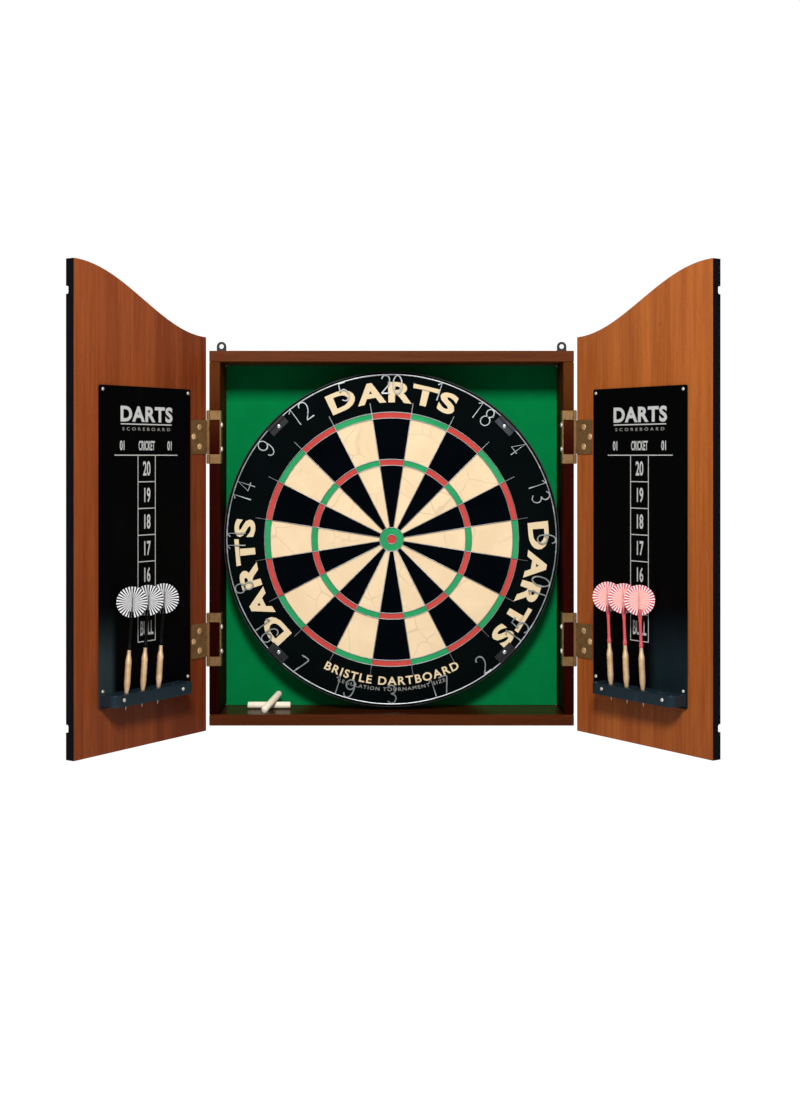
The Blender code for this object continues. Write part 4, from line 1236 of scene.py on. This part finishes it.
def make_darts(side):
    first = DART_WORDS[side][0]
    place = dart_place(first, side)
    barrel_high = local_box(f"{first}_barrel", place)[1]
    shaft_low, shaft_high = local_box(f"{first}_shaft", place)
    flight_low, flight_high = local_box(f"{first}_flight", place)
    middle = (flight_low.z + flight_high.z) / 2
    radius = (flight_high.z - flight_low.z) / 2
    barrel = barrel_piece(barrel_high.z, POINT_LENGTH, barrel_high.x)
    shaft = shaft_piece(shaft_low.z, flight_low.z - 0.0003, shaft_high.z)
    flight = flight_piece(radius, middle, 0.0005)
    colour = "black" if side == LEFT else "red"
    pieces = ((barrel, "barrel", "dart_brass", (BARREL_BRASS, PIN_STEEL)),
              (shaft, "shaft", f"shaft_{colour}", (SHAFT_FINISH[side],)),
              (flight, "flight", f"flight_{colour}",
               (RAY_FINISH[side], PALE_RAY, MIDDLE_RAY[side], PALE_MIDDLE[side])))
    for name in DART_WORDS[side]:
        place = dart_place(name, side)
        for model, word, slot, materials in pieces:
            piece = copy_of(model, f"{name}_{word}_fine")
            give(piece, name, slot, *materials)
            if word == "barrel":
                paint(piece, 1, lambda centre, normal: centre.z < POINT_LENGTH - 0.0003)
            if word == "flight":
                paint_rays(piece, middle, radius)
            if word != "flight":
                smooth(piece, 40)
            settle(piece, place)
            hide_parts(f"{name}_{word}")
    for model in (barrel, shaft, flight):
        bpy.data.objects.remove(model)


def make_chalk():
    """Two sticks: the ends worn round, one of them rubbed to a slant."""
    for number, lean in ((1, 12), (2, -9)):
        node = f"chalk_{number}"
        place, half = stick_place(node)
        radius = CHALK_RADIUS
        rings = [(radius * 0.72, -half), (radius * 0.93, -half + 0.0006), (radius, -half + 0.0018),
                 (radius * 0.99, 0), (radius, half - 0.0020), (radius * 0.9, half - 0.0007),
                 (radius * 0.62, half)]
        stick = turned(f"chalk_stick_{number}_fine", rings, 28)
        edit(stick)
        choose(lambda centre, normal: centre.z > half - 0.0001)
        bpy.ops.transform.rotate(value=math.radians(lean), orient_axis="X",
                                 center_override=(0, 0, half - 0.0004))
        leave()
        give(stick, f"chalk_stick_{number}", "chalk", CHALK)
        smooth(settle(stick, place), 50)
        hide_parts(node)


# ---------------------------------------------------------------- cabinet

def finish_cabinet():
    for node, material in RAIL_WOOD.items():
        refinish(node, material)
    refinish("back_panel", HARDBOARD)
    refinish("felt_lining", FELT)
    refinish("board_backing", CHIPBOARD)
    refinish("board_bracket", BLACK_STEEL)
    refinish("board_bolt", BRIGHT_STEEL)
    for word in SIDES.values():
        refinish(f"hanger_{word}", BLACK_STEEL)


# ---------------------------------------------------------------- studio

def shown_white(tree, output, shader, strength):
    """Shows clean white to the camera and gives the rest of the scene a softer light."""
    kind = "ShaderNodeBackground" if shader.type == "BACKGROUND" else "ShaderNodeEmission"
    white = tree.nodes.new(kind)
    white.inputs["Color"].default_value = (1, 1, 1, 1)
    white.inputs["Strength"].default_value = strength
    path = tree.nodes.new("ShaderNodeLightPath")
    switch = tree.nodes.new("ShaderNodeMixShader")
    tree.links.new(path.outputs["Is Camera Ray"], switch.inputs[0])
    tree.links.new(shader.outputs[0], switch.inputs[1])
    tree.links.new(white.outputs[0], switch.inputs[2])
    tree.links.new(switch.outputs[0], output.inputs["Surface"])


def set_studio():
    scene = bpy.context.scene
    scene.view_settings.view_transform = "Standard"
    world = bpy.data.worlds.new("studio")
    scene.world = world
    world.use_nodes = True
    tree = world.node_tree
    sky = tree.nodes["Background"]
    sky.inputs["Color"].default_value = (0.93, 0.96, 1.0, 1)
    sky.inputs["Strength"].default_value = 0.30
    shown_white(tree, tree.nodes["World Output"], sky, 1.05)

    distance, rise = 2.5, math.radians(32)
    spot = (0, -distance * math.cos(rise), distance * math.sin(rise))
    bpy.ops.object.light_add(type="AREA", location=spot, rotation=(math.pi / 2 - rise, 0, 0))
    key = bpy.context.object
    key.name = "front_soft_box"
    key.data.shape = "SQUARE"
    key.data.size = 0.45
    key.data.energy = 60
    key.data.color = (1, 0.985, 0.96)

    clear_selection()
    bpy.ops.mesh.primitive_plane_add(size=14, location=(0, 0, -1.3))
    floor = named("studio_floor")
    paper = bpy.data.materials.new("studio_paper")
    paper.use_nodes = True
    tree = paper.node_tree
    shader = tree.nodes["Principled BSDF"]
    shader.inputs["Base Color"].default_value = (0.82, 0.82, 0.82, 1)
    shader.inputs["Roughness"].default_value = 0.9
    shown_white(tree, tree.nodes["Material Output"], shader, 1.05)
    floor.data.materials.append(paper)


# ---------------------------------------------------------------- build

set_camera()
finish_cabinet()
make_board()
make_spider()
make_number_ring()
make_clip_screws()
make_board_print()
for door_side in SIDES:
    make_door(door_side)
    make_scoreboard(door_side)
    make_rack(door_side)
    make_hinges(door_side)
    make_darts(door_side)
make_chalk()
set_studio()
clear_selection()
